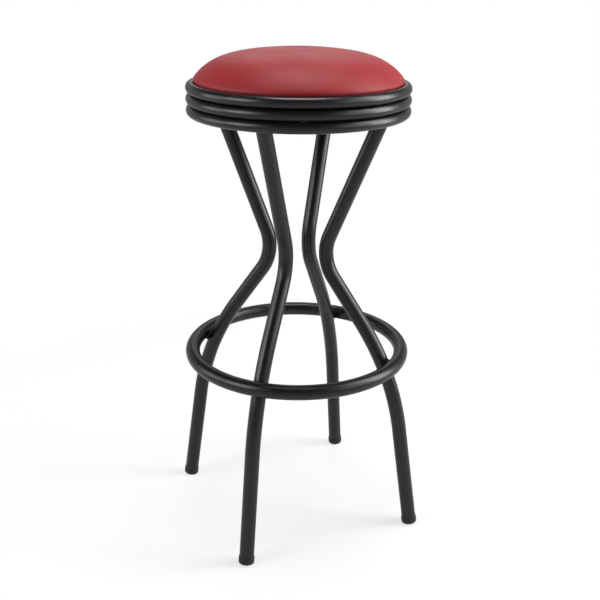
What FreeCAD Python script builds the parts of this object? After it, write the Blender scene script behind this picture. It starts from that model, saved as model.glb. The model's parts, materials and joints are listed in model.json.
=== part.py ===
import FreeCAD, Part
import math
import os
from FreeCAD import Vector

# Diner counter stool: four bent tube legs, a foot ring, a ball-bearing swivel
# and a round padded seat inside a drum of three stacked rings.
# Millimetres, +Z up, origin on the floor at the centre of the stool, -Y is the front.

# Base tube and the path of one leg, as radius from the axis and height of its centreline
leg_radius = 11.1
leg_wall = 1.5
leg_foot_radius = 199.7
knee_radius = 160.6
knee_height = 259.1
knee_bend = 397.6
waist_radius = 37.5
waist_height = 433.9
waist_bend = 68.7
leg_top_height = 648.0
leg_top_inset = 6.9

# Foot ring, outside the legs and touching them
foot_ring_height = 278.5
foot_ring_tube = 11.1
foot_ring_wall = 1.5
weld_gap = 0.2
foot_weld_reach = 9.0
foot_weld_depth = 5.0

# Foot tips pushed over the leg ends
tip_wall = 0.8
tip_fit = 0.1
tip_height = 13.0
tip_floor = 4.5
tip_dome_radius = 22.0
tip_flat_depth = 0.8

# Cross plate welded on the leg tops
cross_thickness = 4.0
cross_arm_width = 30.0
cross_corner_radius = 14.0
cross_end_margin = 3.2
cross_hole_radius = 14.0
top_weld_size = 3.0

# Ball-bearing swivel between the cross plate and the seat board
plate_sheet = 2.5
plate_corner_radius = 12.0
plate_boss_margin = 5.5
plate_tab_gap = 4.8
swivel_height = 15.0
race_radius = 40.0
race_land = 8.0
boss_slope = 9.0
boss_gap = 4.4
ball_radius = 3.175
ball_clearance = 0.06
ball_count = 16
cage_thickness = 1.6
cage_half_width = 6.6
cage_hole_fit = 0.15
pin_radius = 5.0
pin_bore = 2.5
pin_running_fit = 0.05
pin_press_fit = 0.02
pin_head_radius = 9.0
pin_head_height = 2.0
pin_end_play = 0.1

# Fasteners
bolt_radius = 3.0
hole_fit = 0.3
bolt_edge_distance = 15.0
bolt_head_radius = 5.25
bolt_head_height = 3.3
bolt_socket_flats = 4.0
bolt_tail = 3.0
washer_radius = 6.0
washer_thickness = 1.6
nut_flats = 10.0
nut_height = 5.0
screw_radius = 2.0
screw_fit = 0.05
screw_head_radius = 4.0
screw_head_height = 2.6
screw_length = 12.0
screw_recess_depth = 1.4
screw_recess_width = 1.0
plate_screw_edge_distance = 12.0

# Drum of three rings
seat_ring_tube = 7.9
seat_ring_wall = 1.2
seat_ring_radius = 155.0
seat_ring_gap = 0.2
top_ring_rise = 5.3

# Brackets that join the rings and carry the board
bracket_width = 22.0
bracket_thickness = 2.5
bracket_seat_gap = 0.1
bracket_top_margin = 2.0
bracket_bottom_margin = 6.0
bracket_tab_reach = 34.0
bracket_screw_margin = 6.5
bracket_weld_radius = 2.5

# Seat board, foam and cover
board_thickness = 15.0
board_edge_radius = 3.0
cover_thickness = 1.2
cover_fit = 0.3
cover_side_clearance = 0.4
cover_fold_radius = 3.0
hem_width = 16.6
ring_clearance = 0.35
cushion_overlap = 3.3
cushion_roll_radius = 5.0
cushion_shoulder_radius = 96.0
cushion_crown_radius = 580.0
cushion_crown_rise = 54.0

# Staples that hold the hem to the board
staple_hem_margin = 7.5
staple_crown_length = 10.0
staple_wire_width = 1.2
staple_wire_thickness = 0.6
staple_leg_length = 8.0
staples_per_quarter = 10
staple_first_angle = 9.0

# Sizes that follow from the ones above
axis_up = Vector(0, 0, 1)
origin = Vector(0, 0, 0)
leg_angles = {
    "front_left": -135.0,
    "front_right": -45.0,
    "back_right": 45.0,
    "back_left": 135.0,
}
bolt_hole_radius = bolt_radius + hole_fit
screw_hole_radius = screw_radius + hole_fit
seat_ring_pitch = 2 * seat_ring_tube + seat_ring_gap
ring_inner_radius = seat_ring_radius - seat_ring_tube
bracket_outer_radius = ring_inner_radius - bracket_seat_gap
bracket_inner_radius = bracket_outer_radius - bracket_thickness
bracket_tab_inner_radius = bracket_outer_radius - bracket_tab_reach
bracket_screw_radius = bracket_tab_inner_radius + bracket_screw_margin
bracket_weld_length = 2 * bracket_top_margin
leg_top_radius = bracket_inner_radius - leg_top_inset - leg_radius
plate_corner_reach = bracket_tab_inner_radius - plate_tab_gap + plate_corner_radius * (math.sqrt(2) - 1)
upper_plate_width = math.sqrt(2) * plate_corner_reach
plate_screw_spacing = upper_plate_width - 2 * plate_screw_edge_distance
boss_radius = race_radius + race_land + boss_slope
lower_plate_width = 2 * (boss_radius + plate_sheet + plate_boss_margin)
bolt_spacing = lower_plate_width - 2 * bolt_edge_distance
cushion_side_radius = bracket_inner_radius - cover_side_clearance
board_radius = cushion_side_radius - cover_thickness - cover_fit
hem_inner_radius = board_radius - hem_width
staple_circle_radius = hem_inner_radius + staple_hem_margin
cushion_widest_radius = seat_ring_radius - cushion_overlap
cross_top = leg_top_height + cross_thickness
race_height = cross_top + swivel_height / 2
board_bottom = cross_top + swivel_height
board_top = board_bottom + board_thickness
hem_bottom = board_bottom - cover_thickness
tab_top = hem_bottom - bracket_seat_gap
top_ring_height = board_top + top_ring_rise
bottom_ring_height = top_ring_height - 2 * seat_ring_pitch
bracket_bottom = bottom_ring_height - seat_ring_tube + bracket_bottom_margin
bracket_top = top_ring_height + bracket_top_margin
cushion_turn_height = bracket_top + cover_side_clearance
cushion_crown_height = top_ring_height + cushion_crown_rise


def keep(name, shape):
    """Write the STEP file of one node and print its figures."""
    shape.exportStep("parts/" + name + ".step")
    print(name, len(shape.Solids), "solids", round(shape.Volume), "mm3", "valid", shape.isValid())


def section_point(radius, height):
    """A point in the section plane through the axis."""
    return Vector(radius, 0, height)


def turned(shape, angle):
    """A copy of a shape turned about the axis."""
    copy = shape.copy()
    copy.rotate(origin, axis_up, angle)
    return copy


def line(start, end):
    return Part.LineSegment(start, end).toShape()


def arc(centre, radius, start_angle, end_angle):
    """An arc in the section plane, from one angle to another in degrees."""
    points = []
    for share in (0.0, 0.5, 1.0):
        angle = math.radians(start_angle + (end_angle - start_angle) * share)
        points.append(centre + Vector(radius * math.cos(angle), 0, radius * math.sin(angle)))
    return Part.Arc(*points).toShape()


def bearing_angle(centre, point):
    """The angle in degrees of a point of the section plane seen from a centre."""
    return math.degrees(math.atan2(point.z - centre.z, point.x - centre.x))


def spun(edges):
    """The solid made by turning a closed outline about the axis."""
    face = Part.Face(Part.Wire(edges))
    return Part.makeSolid(face.revolve(origin, axis_up, 360).Shells[0])


def closed_lines(points):
    """Straight edges through points, closed."""
    following = points[1:] + points[:1]
    return [line(start, end) for start, end in zip(points, following)]


def circles_meeting(centre_a, distance_a, centre_b, distance_b):
    """The inner of the two points at the given distances from two centres."""
    span = centre_b - centre_a
    length = span.Length
    along = (distance_a ** 2 - distance_b ** 2 + length ** 2) / (2 * length)
    across = math.sqrt(distance_a ** 2 - along ** 2)
    direction = span / length
    normal = Vector(direction.z, 0, -direction.x)
    options = [centre_a + direction * along + normal * side * across for side in (1, -1)]
    return min(options, key=lambda point: point.x)


def level_edges(shape, height):
    """The edges of a shape that lie level at a height."""
    return [edge for edge in shape.Edges
            if abs(edge.BoundBox.ZMin - height) < 1e-6 and abs(edge.BoundBox.ZMax - height) < 1e-6]


def rod_at(radius, length, place, height):
    """An upright cylinder that stands at a height over a place."""
    return Part.makeCylinder(radius, length, Vector(place.x, place.y, height))


def torus(radius, tube, height):
    return Part.makeTorus(radius, tube, Vector(0, 0, height), axis_up)


def hollow_ring(radius, tube, wall, height):
    """A closed ring of round tube."""
    return torus(radius, tube, height).cut(torus(radius, tube - wall, height))


def rounded_plate(width, thickness, corner, bottom):
    """A square plate with round corners, centred on the axis."""
    plate = Part.makeBox(width, width, thickness, Vector(-width / 2, -width / 2, bottom))
    edges = [edge for edge in plate.Edges if abs(edge.Vertexes[0].Z - edge.Vertexes[1].Z) > 0]
    return plate.makeFillet(corner, edges)


# Legs

foot_point = section_point(leg_foot_radius, 0)
knee_point = section_point(knee_radius, knee_height)
waist_point = section_point(waist_radius, waist_height)
leg_top_point = section_point(leg_top_radius, leg_top_height)
foot_direction = (knee_point - foot_point).normalize()


def bend(before, corner, after, radius):
    """Start, middle and end of the arc that rounds a corner, and its centre."""
    inward = (before - corner).normalize()
    outward = (after - corner).normalize()
    half = inward.getAngle(outward) / 2
    tangent = radius / math.tan(half)
    bisector = (inward + outward).normalize()
    centre = corner + bisector * (radius / math.sin(half))
    return corner + inward * tangent, centre - bisector * radius, corner + outward * tangent, centre


knee_start, knee_middle, knee_end, knee_centre = bend(foot_point, knee_point, waist_point, knee_bend)
waist_start, waist_middle, waist_end, waist_centre = bend(knee_point, waist_point, leg_top_point, waist_bend)


def leg_path():
    """The centreline of a leg, run on past the cross plate at its top."""
    tip_base = foot_point + foot_direction * tip_inner_end()
    beyond = leg_top_point + (leg_top_point - waist_point).normalize() * 4 * leg_radius
    return Part.Wire([
        line(tip_base, knee_start),
        Part.Arc(knee_start, knee_middle, knee_end).toShape(),
        line(knee_end, waist_start),
        Part.Arc(waist_start, waist_middle, waist_end).toShape(),
        line(waist_end, beyond),
    ])


def leg_rod(radius):
    """A solid rod along the leg, cut level under the cross plate."""
    path = leg_path()
    start = path.Vertexes[0].Point
    section = Part.Wire(Part.makeCircle(radius, start, foot_direction))
    rod = path.makePipeShell([section], True, False)
    size = 8 * leg_radius
    corner = Vector(leg_top_radius - size / 2, -size / 2, leg_top_height)
    return rod.cut(Part.makeBox(size, size, size, corner))


def tip_apex():
    """Where the dome of a foot tip would end below the floor, along the leg's axis."""
    return (tip_dome_radius - tip_flat_depth) / foot_direction.z - tip_dome_radius


def tip_inner_end():
    """Where the leg's end rests inside its tip, along the leg's axis."""
    return tip_apex() + tip_floor


def leg_tube():
    return leg_rod(leg_radius).cut(leg_rod(leg_radius - leg_wall))


def foot_tip():
    """A thin cap over the leg's end, with a dome worn flat where it stands."""
    outer = leg_radius + tip_fit + tip_wall
    apex = tip_apex()
    base = foot_point + foot_direction * apex
    dome_centre = foot_point + foot_direction * (apex + tip_dome_radius)
    body = Part.makeCylinder(outer, tip_height, base, foot_direction)
    dome = Part.makeSphere(tip_dome_radius, dome_centre, foot_direction)
    barrel_start = dome_centre - foot_direction * (0.8 * tip_dome_radius)
    body = body.common(dome.fuse(Part.makeCylinder(outer, tip_height, barrel_start, foot_direction)))
    inner_end = foot_point + foot_direction * tip_inner_end()
    body = body.cut(Part.makeCylinder(leg_radius + tip_fit, tip_height, inner_end, foot_direction))
    size = 4 * outer
    floor_corner = Vector(leg_foot_radius - size / 2, -size / 2, -size)
    return body.cut(Part.makeBox(size, size, size, floor_corner))


# Foot ring

ring_reach = knee_bend + leg_radius + foot_ring_tube + weld_gap
foot_ring_radius = knee_centre.x + math.sqrt(ring_reach ** 2 - (foot_ring_height - knee_centre.z) ** 2)
foot_ring_point = section_point(foot_ring_radius, foot_ring_height)


def foot_ring_weld(rod):
    """The bead that fills the crease round the place where a leg meets the foot ring."""
    toward_ring = (foot_ring_point - knee_centre).normalize()
    contact = knee_centre + toward_ring * (knee_bend + leg_radius + weld_gap / 2)
    bead = Part.makeSphere(foot_weld_reach)
    squash = FreeCAD.Matrix()
    squash.scale(foot_weld_depth / foot_weld_reach, 1.0, 1.0)
    bead = bead.transformGeometry(squash)
    bead.rotate(origin, Vector(0, 1, 0), -math.degrees(math.atan2(toward_ring.z, toward_ring.x)))
    bead.translate(contact)
    return bead.cut(rod).cut(torus(foot_ring_radius, foot_ring_tube, foot_ring_height))


# Cross plate and its welds

cross_end_radius = leg_top_radius + leg_radius / math.cos(
    (leg_top_point - waist_point).getAngle(axis_up)) + cross_end_margin


def bolt_places(spacing):
    half = spacing / 2
    return [Vector(x, y, 0) for x in (-half, half) for y in (-half, half)]


def cross_plate():
    """The four-armed plate on the leg tops."""
    plate = rounded_plate(lower_plate_width, cross_thickness, cross_corner_radius, leg_top_height)
    for angle in leg_angles.values():
        reach = cross_end_radius - cross_arm_width / 2
        corner = Vector(0, -cross_arm_width / 2, leg_top_height)
        arm = Part.makeBox(reach, cross_arm_width, cross_thickness, corner)
        nose = Part.makeCylinder(cross_arm_width / 2, cross_thickness, Vector(reach, 0, leg_top_height))
        plate = plate.fuse(turned(arm.fuse(nose), angle))
    plate = plate.cut(Part.makeCylinder(cross_hole_radius, cross_thickness, Vector(0, 0, leg_top_height)))
    for place in bolt_places(bolt_spacing):
        plate = plate.cut(rod_at(bolt_hole_radius, cross_thickness, place, leg_top_height))
    return plate.removeSplitter()


def leg_section(growth, height):
    """The outline of a leg's level cut, made larger all round, at a height near the top."""
    slope = (leg_top_point - waist_point).normalize()
    centre = leg_top_point - slope * ((leg_top_height - height) / slope.z)
    long_half = leg_radius / slope.z + growth
    outline = Part.Ellipse(centre, long_half, leg_radius + growth)
    return Part.Wire(outline.toShape())


def leg_top_weld(rod):
    """The fillet between a leg's top and the underside of the cross plate."""
    wide = leg_section(top_weld_size, leg_top_height)
    narrow = leg_section(0.2, leg_top_height - top_weld_size)
    return Part.makeLoft([wide, narrow], True, True).cut(rod)


# Swivel

def pressed_plate(width, bottom, mirrored, hole):
    """A square plate with a raised round boss that carries half of the ball race."""
    boss_top = race_height - cross_top - boss_gap / 2
    boss_bottom = boss_top - plate_sheet
    boss = spun(closed_lines([
        section_point(hole, boss_bottom),
        section_point(race_radius + race_land, boss_bottom),
        section_point(boss_radius, 0),
        section_point(boss_radius + plate_sheet, 0),
        section_point(boss_radius + plate_sheet, plate_sheet),
        section_point(race_radius + race_land + plate_sheet, boss_top),
        section_point(hole, boss_top),
    ]))
    flange = rounded_plate(width, plate_sheet, plate_corner_radius, 0)
    flange = flange.cut(Part.makeCylinder(boss_radius + plate_sheet / 2, plate_sheet))
    plate = flange.fuse(boss)
    groove = torus(race_radius, ball_radius + ball_clearance, race_height - cross_top)
    plate = plate.cut(groove)
    if mirrored:
        plate = plate.mirror(origin, axis_up)
    plate.translate(Vector(0, 0, bottom))
    return plate.removeSplitter()


def lower_plate():
    plate = pressed_plate(lower_plate_width, cross_top, False, pin_radius + pin_press_fit)
    for place in bolt_places(bolt_spacing):
        plate = plate.cut(rod_at(bolt_hole_radius, plate_sheet, place, cross_top))
    return plate


def upper_plate():
    plate = pressed_plate(upper_plate_width, board_bottom, True, pin_radius + pin_running_fit)
    for place in bolt_places(plate_screw_spacing):
        plate = plate.cut(rod_at(screw_hole_radius, plate_sheet, place, board_bottom - plate_sheet))
    return plate


def swivel_pin():
    """The hollow rivet that holds the two swivel plates together."""
    boss = boss_gap / 2 + plate_sheet
    low = race_height - boss
    high = race_height + boss + pin_end_play
    return spun(closed_lines([
        section_point(pin_bore, low - pin_head_height),
        section_point(pin_head_radius, low - pin_head_height),
        section_point(pin_head_radius, low),
        section_point(pin_radius, low),
        section_point(pin_radius, high),
        section_point(pin_head_radius, high),
        section_point(pin_head_radius, high + pin_head_height),
        section_point(pin_bore, high + pin_head_height),
    ]))


def ball_places():
    return [step * 360.0 / ball_count for step in range(ball_count)]


def swivel_balls():
    ball = Part.makeSphere(ball_radius, Vector(race_radius, 0, race_height))
    return Part.makeCompound([turned(ball, angle) for angle in ball_places()])


def ball_cage():
    """The flat ring that spaces the balls."""
    low = Vector(0, 0, race_height - cage_thickness / 2)
    cage = Part.makeCylinder(race_radius + cage_half_width, cage_thickness, low)
    cage = cage.cut(Part.makeCylinder(race_radius - cage_half_width, cage_thickness, low))
    hole = Part.makeCylinder(ball_radius + cage_hole_fit, cage_thickness, low + Vector(race_radius, 0, 0))
    for angle in ball_places():
        cage = cage.cut(turned(hole, angle))
    return cage


# Fasteners

def hexagon(flats, height, base):
    """A six-sided prism standing on a point."""
    corner = flats / math.sqrt(3)
    points = []
    for step in range(7):
        angle = math.radians(60 * step)
        points.append(base + Vector(corner * math.cos(angle), corner * math.sin(angle), 0))
    return Part.Face(Part.makePolygon(points)).extrude(Vector(0, 0, height))


def swivel_bolts():
    """Button-head bolts through the lower swivel plate and the cross plate."""
    head_bottom = cross_top + plate_sheet
    nut_bottom = leg_top_height - washer_thickness - nut_height
    bolts = []
    for place in bolt_places(bolt_spacing):
        head = Part.makeCylinder(bolt_head_radius, bolt_head_height, place + axis_up * head_bottom)
        head = head.makeFillet(bolt_head_height * 0.6, level_edges(head, head_bottom + bolt_head_height))
        socket_base = place + axis_up * (head_bottom + bolt_head_height / 2)
        head = head.cut(hexagon(bolt_socket_flats, bolt_head_height, socket_base))
        shank_length = head_bottom - nut_bottom + bolt_tail
        shank = Part.makeCylinder(bolt_radius, shank_length, place + axis_up * (nut_bottom - bolt_tail))
        bolts.append(head.fuse(shank))
    return Part.makeCompound(bolts)


def swivel_washers():
    base = leg_top_height - washer_thickness
    washers = []
    for place in bolt_places(bolt_spacing):
        disc = rod_at(washer_radius, washer_thickness, place, base)
        washers.append(disc.cut(rod_at(bolt_hole_radius, washer_thickness, place, base)))
    return Part.makeCompound(washers)


def swivel_nuts():
    base = axis_up * (leg_top_height - washer_thickness - nut_height)
    nuts = []
    for place in bolt_places(bolt_spacing):
        body = hexagon(nut_flats, nut_height, place + base)
        chamfer = Part.makeCone(nut_flats / 2, nut_flats / 2 + nut_height, nut_height, place + base)
        body = body.common(chamfer)
        nuts.append(body.cut(Part.makeCylinder(bolt_radius + screw_fit, nut_height, place + base)))
    return Part.makeCompound(nuts)


def wood_screw(place):
    """A pan-head screw that points up, its head's flat side at the given place."""
    head = Part.makeCylinder(screw_head_radius, screw_head_height, place - axis_up * screw_head_height)
    head = head.makeFillet(screw_head_height * 0.55, level_edges(head, place.z - screw_head_height))
    for width, depth in ((screw_recess_width, 2 * screw_radius), (2 * screw_radius, screw_recess_width)):
        corner = place + Vector(-width / 2, -depth / 2, -screw_head_height)
        head = head.cut(Part.makeBox(width, depth, screw_recess_depth, corner))
    straight = screw_length - 2 * screw_radius
    shank = Part.makeCylinder(screw_radius, straight, place)
    point = Part.makeCone(screw_radius, 0.3, 2 * screw_radius, place + axis_up * straight)
    return head.fuse(shank).fuse(point)


def plate_screw_places():
    base = axis_up * (board_bottom - plate_sheet)
    return [place + base for place in bolt_places(plate_screw_spacing)]


def bracket_screw_places():
    places = []
    for angle in leg_angles.values():
        turn = math.radians(angle)
        outward = Vector(math.cos(turn), math.sin(turn), 0)
        places.append(outward * bracket_screw_radius + axis_up * (tab_top - bracket_thickness))
    return places


# Drum brackets

def ring_bracket():
    """An upright strap inside the rings, with a tab under the board."""
    height = bracket_top - bracket_bottom
    low = Vector(0, 0, bracket_bottom)
    strap = Part.makeCylinder(bracket_outer_radius, height, low)
    strap = strap.cut(Part.makeCylinder(bracket_inner_radius, height, low))
    nose = bracket_width / 2
    strap = strap.common(Part.makeBox(seat_ring_radius, bracket_width, height, low - Vector(0, nose, 0)))
    tab_low = tab_top - bracket_thickness
    nose_centre = Vector(bracket_tab_inner_radius + nose, 0, tab_low)
    tab_length = bracket_outer_radius - nose_centre.x
    tab = Part.makeBox(tab_length, bracket_width, bracket_thickness, nose_centre - Vector(0, nose, 0))
    tab = tab.fuse(Part.makeCylinder(nose, bracket_thickness, nose_centre))
    tab = tab.common(Part.makeCylinder(bracket_outer_radius, bracket_thickness, Vector(0, 0, tab_low)))
    bracket = strap.fuse(tab).removeSplitter()
    hole_place = Vector(bracket_screw_radius, 0, tab_low)
    return bracket.cut(Part.makeCylinder(screw_hole_radius, bracket_thickness, hole_place))


def bracket_welds():
    """Upright beads in the corners between each strap's edges and each ring."""
    beads = []
    half = bracket_width / 2
    radius = math.sqrt(bracket_outer_radius ** 2 - half ** 2)
    size = 2 * bracket_weld_radius
    for ring in range(3):
        height = top_ring_height - ring * seat_ring_pitch
        low = height - bracket_weld_length / 2
        ring_rod = torus(seat_ring_radius, seat_ring_tube, height)
        inside = Part.makeCylinder(bracket_inner_radius, bracket_weld_length, Vector(0, 0, low))
        for side in (-1, 1):
            corner = Vector(radius, side * half, low)
            bead = Part.makeCylinder(bracket_weld_radius, bracket_weld_length, corner)
            strap_corner = corner - Vector(size, size if side > 0 else 0, 0)
            strap_block = Part.makeBox(2 * size, size, bracket_weld_length, strap_corner)
            bead = bead.cut(strap_block).cut(inside).cut(ring_rod)
            beads += [turned(bead, angle) for angle in leg_angles.values()]
    return Part.makeCompound(beads)


# Seat board, foam and cover

def seat_board():
    board = Part.makeCylinder(board_radius, board_thickness, Vector(0, 0, board_bottom))
    rims = level_edges(board, board_bottom) + level_edges(board, board_top)
    board = board.makeFillet(board_edge_radius, rims)
    for place in plate_screw_places() + bracket_screw_places():
        hole = Part.makeCylinder(screw_radius + screw_fit, screw_length + screw_fit, place)
        board = board.cut(hole)
    return board


def crown_edges(inset):
    """The cushion's outline from its side to its crown, moved inwards by an inset."""
    side = cushion_side_radius - inset
    ring_centre = section_point(seat_ring_radius, top_ring_height)
    fold = seat_ring_tube + ring_clearance + inset
    roll = cushion_roll_radius - inset
    roll_centre_radius = cushion_widest_radius - cushion_roll_radius
    reach = seat_ring_tube + ring_clearance + cushion_roll_radius
    rise = math.sqrt(reach ** 2 - (seat_ring_radius - roll_centre_radius) ** 2)
    roll_centre = section_point(roll_centre_radius, top_ring_height + rise)
    crown_centre = section_point(0, cushion_crown_height - cushion_crown_radius)
    shoulder_centre = circles_meeting(
        crown_centre, cushion_crown_radius - cushion_shoulder_radius,
        roll_centre, cushion_shoulder_radius - cushion_roll_radius)
    turn = section_point(side, cushion_turn_height)
    to_turn = turn - ring_centre
    turn_angle = math.degrees(math.acos(fold / to_turn.Length))
    fold_start = bearing_angle(ring_centre, turn) - turn_angle
    fold_end = bearing_angle(ring_centre, roll_centre)
    roll_start = fold_end - 180.0
    shoulder_start = bearing_angle(shoulder_centre, roll_centre)
    crown_start = bearing_angle(crown_centre, shoulder_centre)
    fold_point = ring_centre + Vector(math.cos(math.radians(fold_start)), 0,
                                      math.sin(math.radians(fold_start))) * fold
    edges = [line(turn, fold_point)]
    edges.append(arc(ring_centre, fold, fold_start, fold_end))
    edges.append(arc(roll_centre, roll, roll_start, shoulder_start))
    edges.append(arc(shoulder_centre, cushion_shoulder_radius - inset, shoulder_start, crown_start))
    edges.append(arc(crown_centre, cushion_crown_radius - inset, crown_start, 90.0))
    return turn, edges


def seat_foam():
    inset = cover_thickness + cover_fit
    turn, edges = crown_edges(inset)
    base = section_point(turn.x, board_top)
    crown = section_point(0, cushion_crown_height - inset)
    centre = section_point(0, board_top)
    return spun([line(centre, base), line(base, turn)] + edges + [line(crown, centre)])


def seat_cover():
    """The stretched cover, wrapped round the board's edge to a hem underneath."""
    turn, edges = crown_edges(0.0)
    inner_turn, inner_edges = crown_edges(cover_thickness)
    fold = cover_fold_radius
    corner = section_point(turn.x - fold, hem_bottom + fold)
    inner_fold = fold - cover_thickness
    hem_low = section_point(hem_inner_radius, hem_bottom)
    hem_high = section_point(hem_inner_radius, board_bottom)
    outline = [line(hem_low, section_point(turn.x - fold, hem_bottom)), arc(corner, fold, -90, 0)]
    outline.append(line(section_point(turn.x, hem_bottom + fold), turn))
    outline += edges
    crown = section_point(0, cushion_crown_height)
    inner_crown = section_point(0, cushion_crown_height - cover_thickness)
    outline.append(line(crown, inner_crown))
    outline += inner_edges
    inner_corner = section_point(inner_turn.x, corner.z)
    outline.append(line(inner_turn, inner_corner))
    outline.append(arc(corner, inner_fold, 0, -90))
    outline.append(line(section_point(corner.x, board_bottom), hem_high))
    outline.append(line(hem_high, hem_low))
    return spun(Part.sortEdges(outline)[0])


def cover_staples():
    """Wire staples through the hem into the board, between the bracket tabs."""
    half = staple_crown_length / 2
    radius = staple_circle_radius
    low = hem_bottom - staple_wire_thickness
    staple = Part.makeBox(staple_wire_width, staple_crown_length, staple_wire_thickness,
                          Vector(radius - staple_wire_width / 2, -half, low))
    for side in (-half, half - staple_wire_thickness):
        corner = Vector(radius - staple_wire_width / 2, side, low)
        prong = Part.makeBox(staple_wire_width, staple_wire_thickness, staple_leg_length, corner)
        staple = staple.fuse(prong)
    staple = staple.removeSplitter()
    step = (90.0 - 2 * staple_first_angle) / (staples_per_quarter - 1)
    staples = []
    for start in leg_angles.values():
        for count in range(staples_per_quarter):
            staples.append(turned(staple, start + staple_first_angle + count * step))
    return Part.makeCompound(staples)


def make_base():
    rod = leg_rod(leg_radius)
    tube = leg_tube()
    tip = foot_tip()
    for corner, angle in leg_angles.items():
        keep("leg_" + corner, turned(tube, angle))
        keep("foot_tip_" + corner, turned(tip, angle))
    keep("foot_ring", hollow_ring(foot_ring_radius, foot_ring_tube, foot_ring_wall, foot_ring_height))
    ring_weld = foot_ring_weld(rod)
    keep("foot_ring_welds", Part.makeCompound([turned(ring_weld, angle) for angle in leg_angles.values()]))
    top_weld = leg_top_weld(rod)
    keep("leg_top_welds", Part.makeCompound([turned(top_weld, angle) for angle in leg_angles.values()]))
    keep("leg_cross_plate", cross_plate())
    keep("swivel_lower_plate", lower_plate())
    keep("swivel_pin", swivel_pin())
    keep("swivel_bolts", swivel_bolts())
    keep("swivel_washers", swivel_washers())
    keep("swivel_nuts", swivel_nuts())


def make_ball_ring():
    keep("swivel_ball_cage", ball_cage())
    keep("swivel_balls", swivel_balls())


def make_seat():
    keep("swivel_upper_plate", upper_plate())
    keep("swivel_plate_screws", Part.makeCompound([wood_screw(place) for place in plate_screw_places()]))
    for name, step in (("top", 0), ("middle", 1), ("bottom", 2)):
        height = top_ring_height - step * seat_ring_pitch
        keep("seat_ring_" + name, hollow_ring(seat_ring_radius, seat_ring_tube, seat_ring_wall, height))
    bracket = ring_bracket()
    for corner, angle in leg_angles.items():
        keep("ring_bracket_" + corner, turned(bracket, angle))
    keep("ring_bracket_welds", bracket_welds())
    keep("ring_bracket_screws", Part.makeCompound([wood_screw(place) for place in bracket_screw_places()]))
    keep("seat_board", seat_board())
    keep("seat_foam", seat_foam())
    keep("seat_cover", seat_cover())
    keep("cover_staples", cover_staples())


os.makedirs("parts", exist_ok=True)
make_base()
make_ball_ring()
make_seat()
print("foot ring centreline radius", round(foot_ring_radius, 2))
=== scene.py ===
import json
import logging
import math
import random
from collections.abc import Sequence
from dataclasses import dataclass, field
from enum import Enum

import bmesh
import bpy
from mathutils import Matrix, Vector

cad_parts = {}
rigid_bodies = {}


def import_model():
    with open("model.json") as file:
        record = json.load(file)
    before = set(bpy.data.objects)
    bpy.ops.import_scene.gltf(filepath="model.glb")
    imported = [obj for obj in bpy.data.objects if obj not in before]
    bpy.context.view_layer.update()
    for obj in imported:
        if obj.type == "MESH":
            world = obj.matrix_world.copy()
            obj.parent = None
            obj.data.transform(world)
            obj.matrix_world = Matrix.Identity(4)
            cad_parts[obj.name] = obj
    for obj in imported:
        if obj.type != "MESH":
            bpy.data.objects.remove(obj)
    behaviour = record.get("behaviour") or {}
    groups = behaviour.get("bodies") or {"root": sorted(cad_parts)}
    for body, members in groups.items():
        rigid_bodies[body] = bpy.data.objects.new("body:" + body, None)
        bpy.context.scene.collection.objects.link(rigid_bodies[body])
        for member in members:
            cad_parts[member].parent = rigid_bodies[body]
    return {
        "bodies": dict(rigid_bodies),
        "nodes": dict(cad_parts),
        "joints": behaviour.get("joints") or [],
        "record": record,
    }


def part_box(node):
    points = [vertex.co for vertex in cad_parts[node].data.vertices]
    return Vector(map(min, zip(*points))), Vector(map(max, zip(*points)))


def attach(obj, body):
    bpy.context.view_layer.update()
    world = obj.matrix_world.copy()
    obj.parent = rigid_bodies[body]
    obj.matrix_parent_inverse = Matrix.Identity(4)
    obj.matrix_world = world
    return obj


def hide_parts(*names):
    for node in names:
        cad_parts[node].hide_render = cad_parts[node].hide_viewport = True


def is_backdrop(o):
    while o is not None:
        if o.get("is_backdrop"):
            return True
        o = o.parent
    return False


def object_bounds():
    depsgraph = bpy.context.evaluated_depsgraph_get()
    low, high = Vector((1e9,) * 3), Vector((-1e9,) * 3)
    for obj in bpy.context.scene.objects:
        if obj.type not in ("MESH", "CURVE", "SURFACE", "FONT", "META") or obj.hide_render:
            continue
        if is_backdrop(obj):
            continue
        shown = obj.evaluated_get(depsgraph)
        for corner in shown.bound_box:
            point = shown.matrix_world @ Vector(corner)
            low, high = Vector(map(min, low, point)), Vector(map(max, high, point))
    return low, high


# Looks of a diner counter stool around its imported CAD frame.
# Metres, +Z up, origin on the floor under the swivel axis, -Y is the front.

log = logging.getLogger("stool")
Point = tuple[float, float, float]
Face = tuple[int, ...]
Span = tuple[float, float]
Outline = list[Span]
MERGE_DISTANCE = 1e-6
ON_AXIS = 1e-7
SHORTEST_STEP = 1e-9
RIGHT_ANGLE = 90.0
RING_STEPS = 240
ARC_STEPS = 40


class Body(str, Enum):
    """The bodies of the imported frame."""

    BASE = "base"
    BALL_RING = "ball_ring"
    SEAT = "seat"


class Corner(Enum):
    """The four legs and their directions in degrees round the axis."""

    FRONT_LEFT = -135.0
    FRONT_RIGHT = -45.0
    BACK_RIGHT = 45.0
    BACK_LEFT = 135.0

    @property
    def node_end(self) -> str:
        """The last part of this corner's node names."""
        return self.name.lower()

    @property
    def turn(self) -> Matrix:
        """The turn that carries the +X side to this corner."""
        return Matrix.Rotation(math.radians(self.value), 4, "Z")


def round_angles(steps: int) -> list[float]:
    """Angles in equal steps once round the axis."""
    return [2 * math.pi * step / steps for step in range(steps)]


def hexagon_angle(angle: float) -> float:
    """A direction's angle from the middle of the hexagon side that it meets."""
    return (angle + math.pi / 6) % (math.pi / 3) - math.pi / 6


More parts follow.
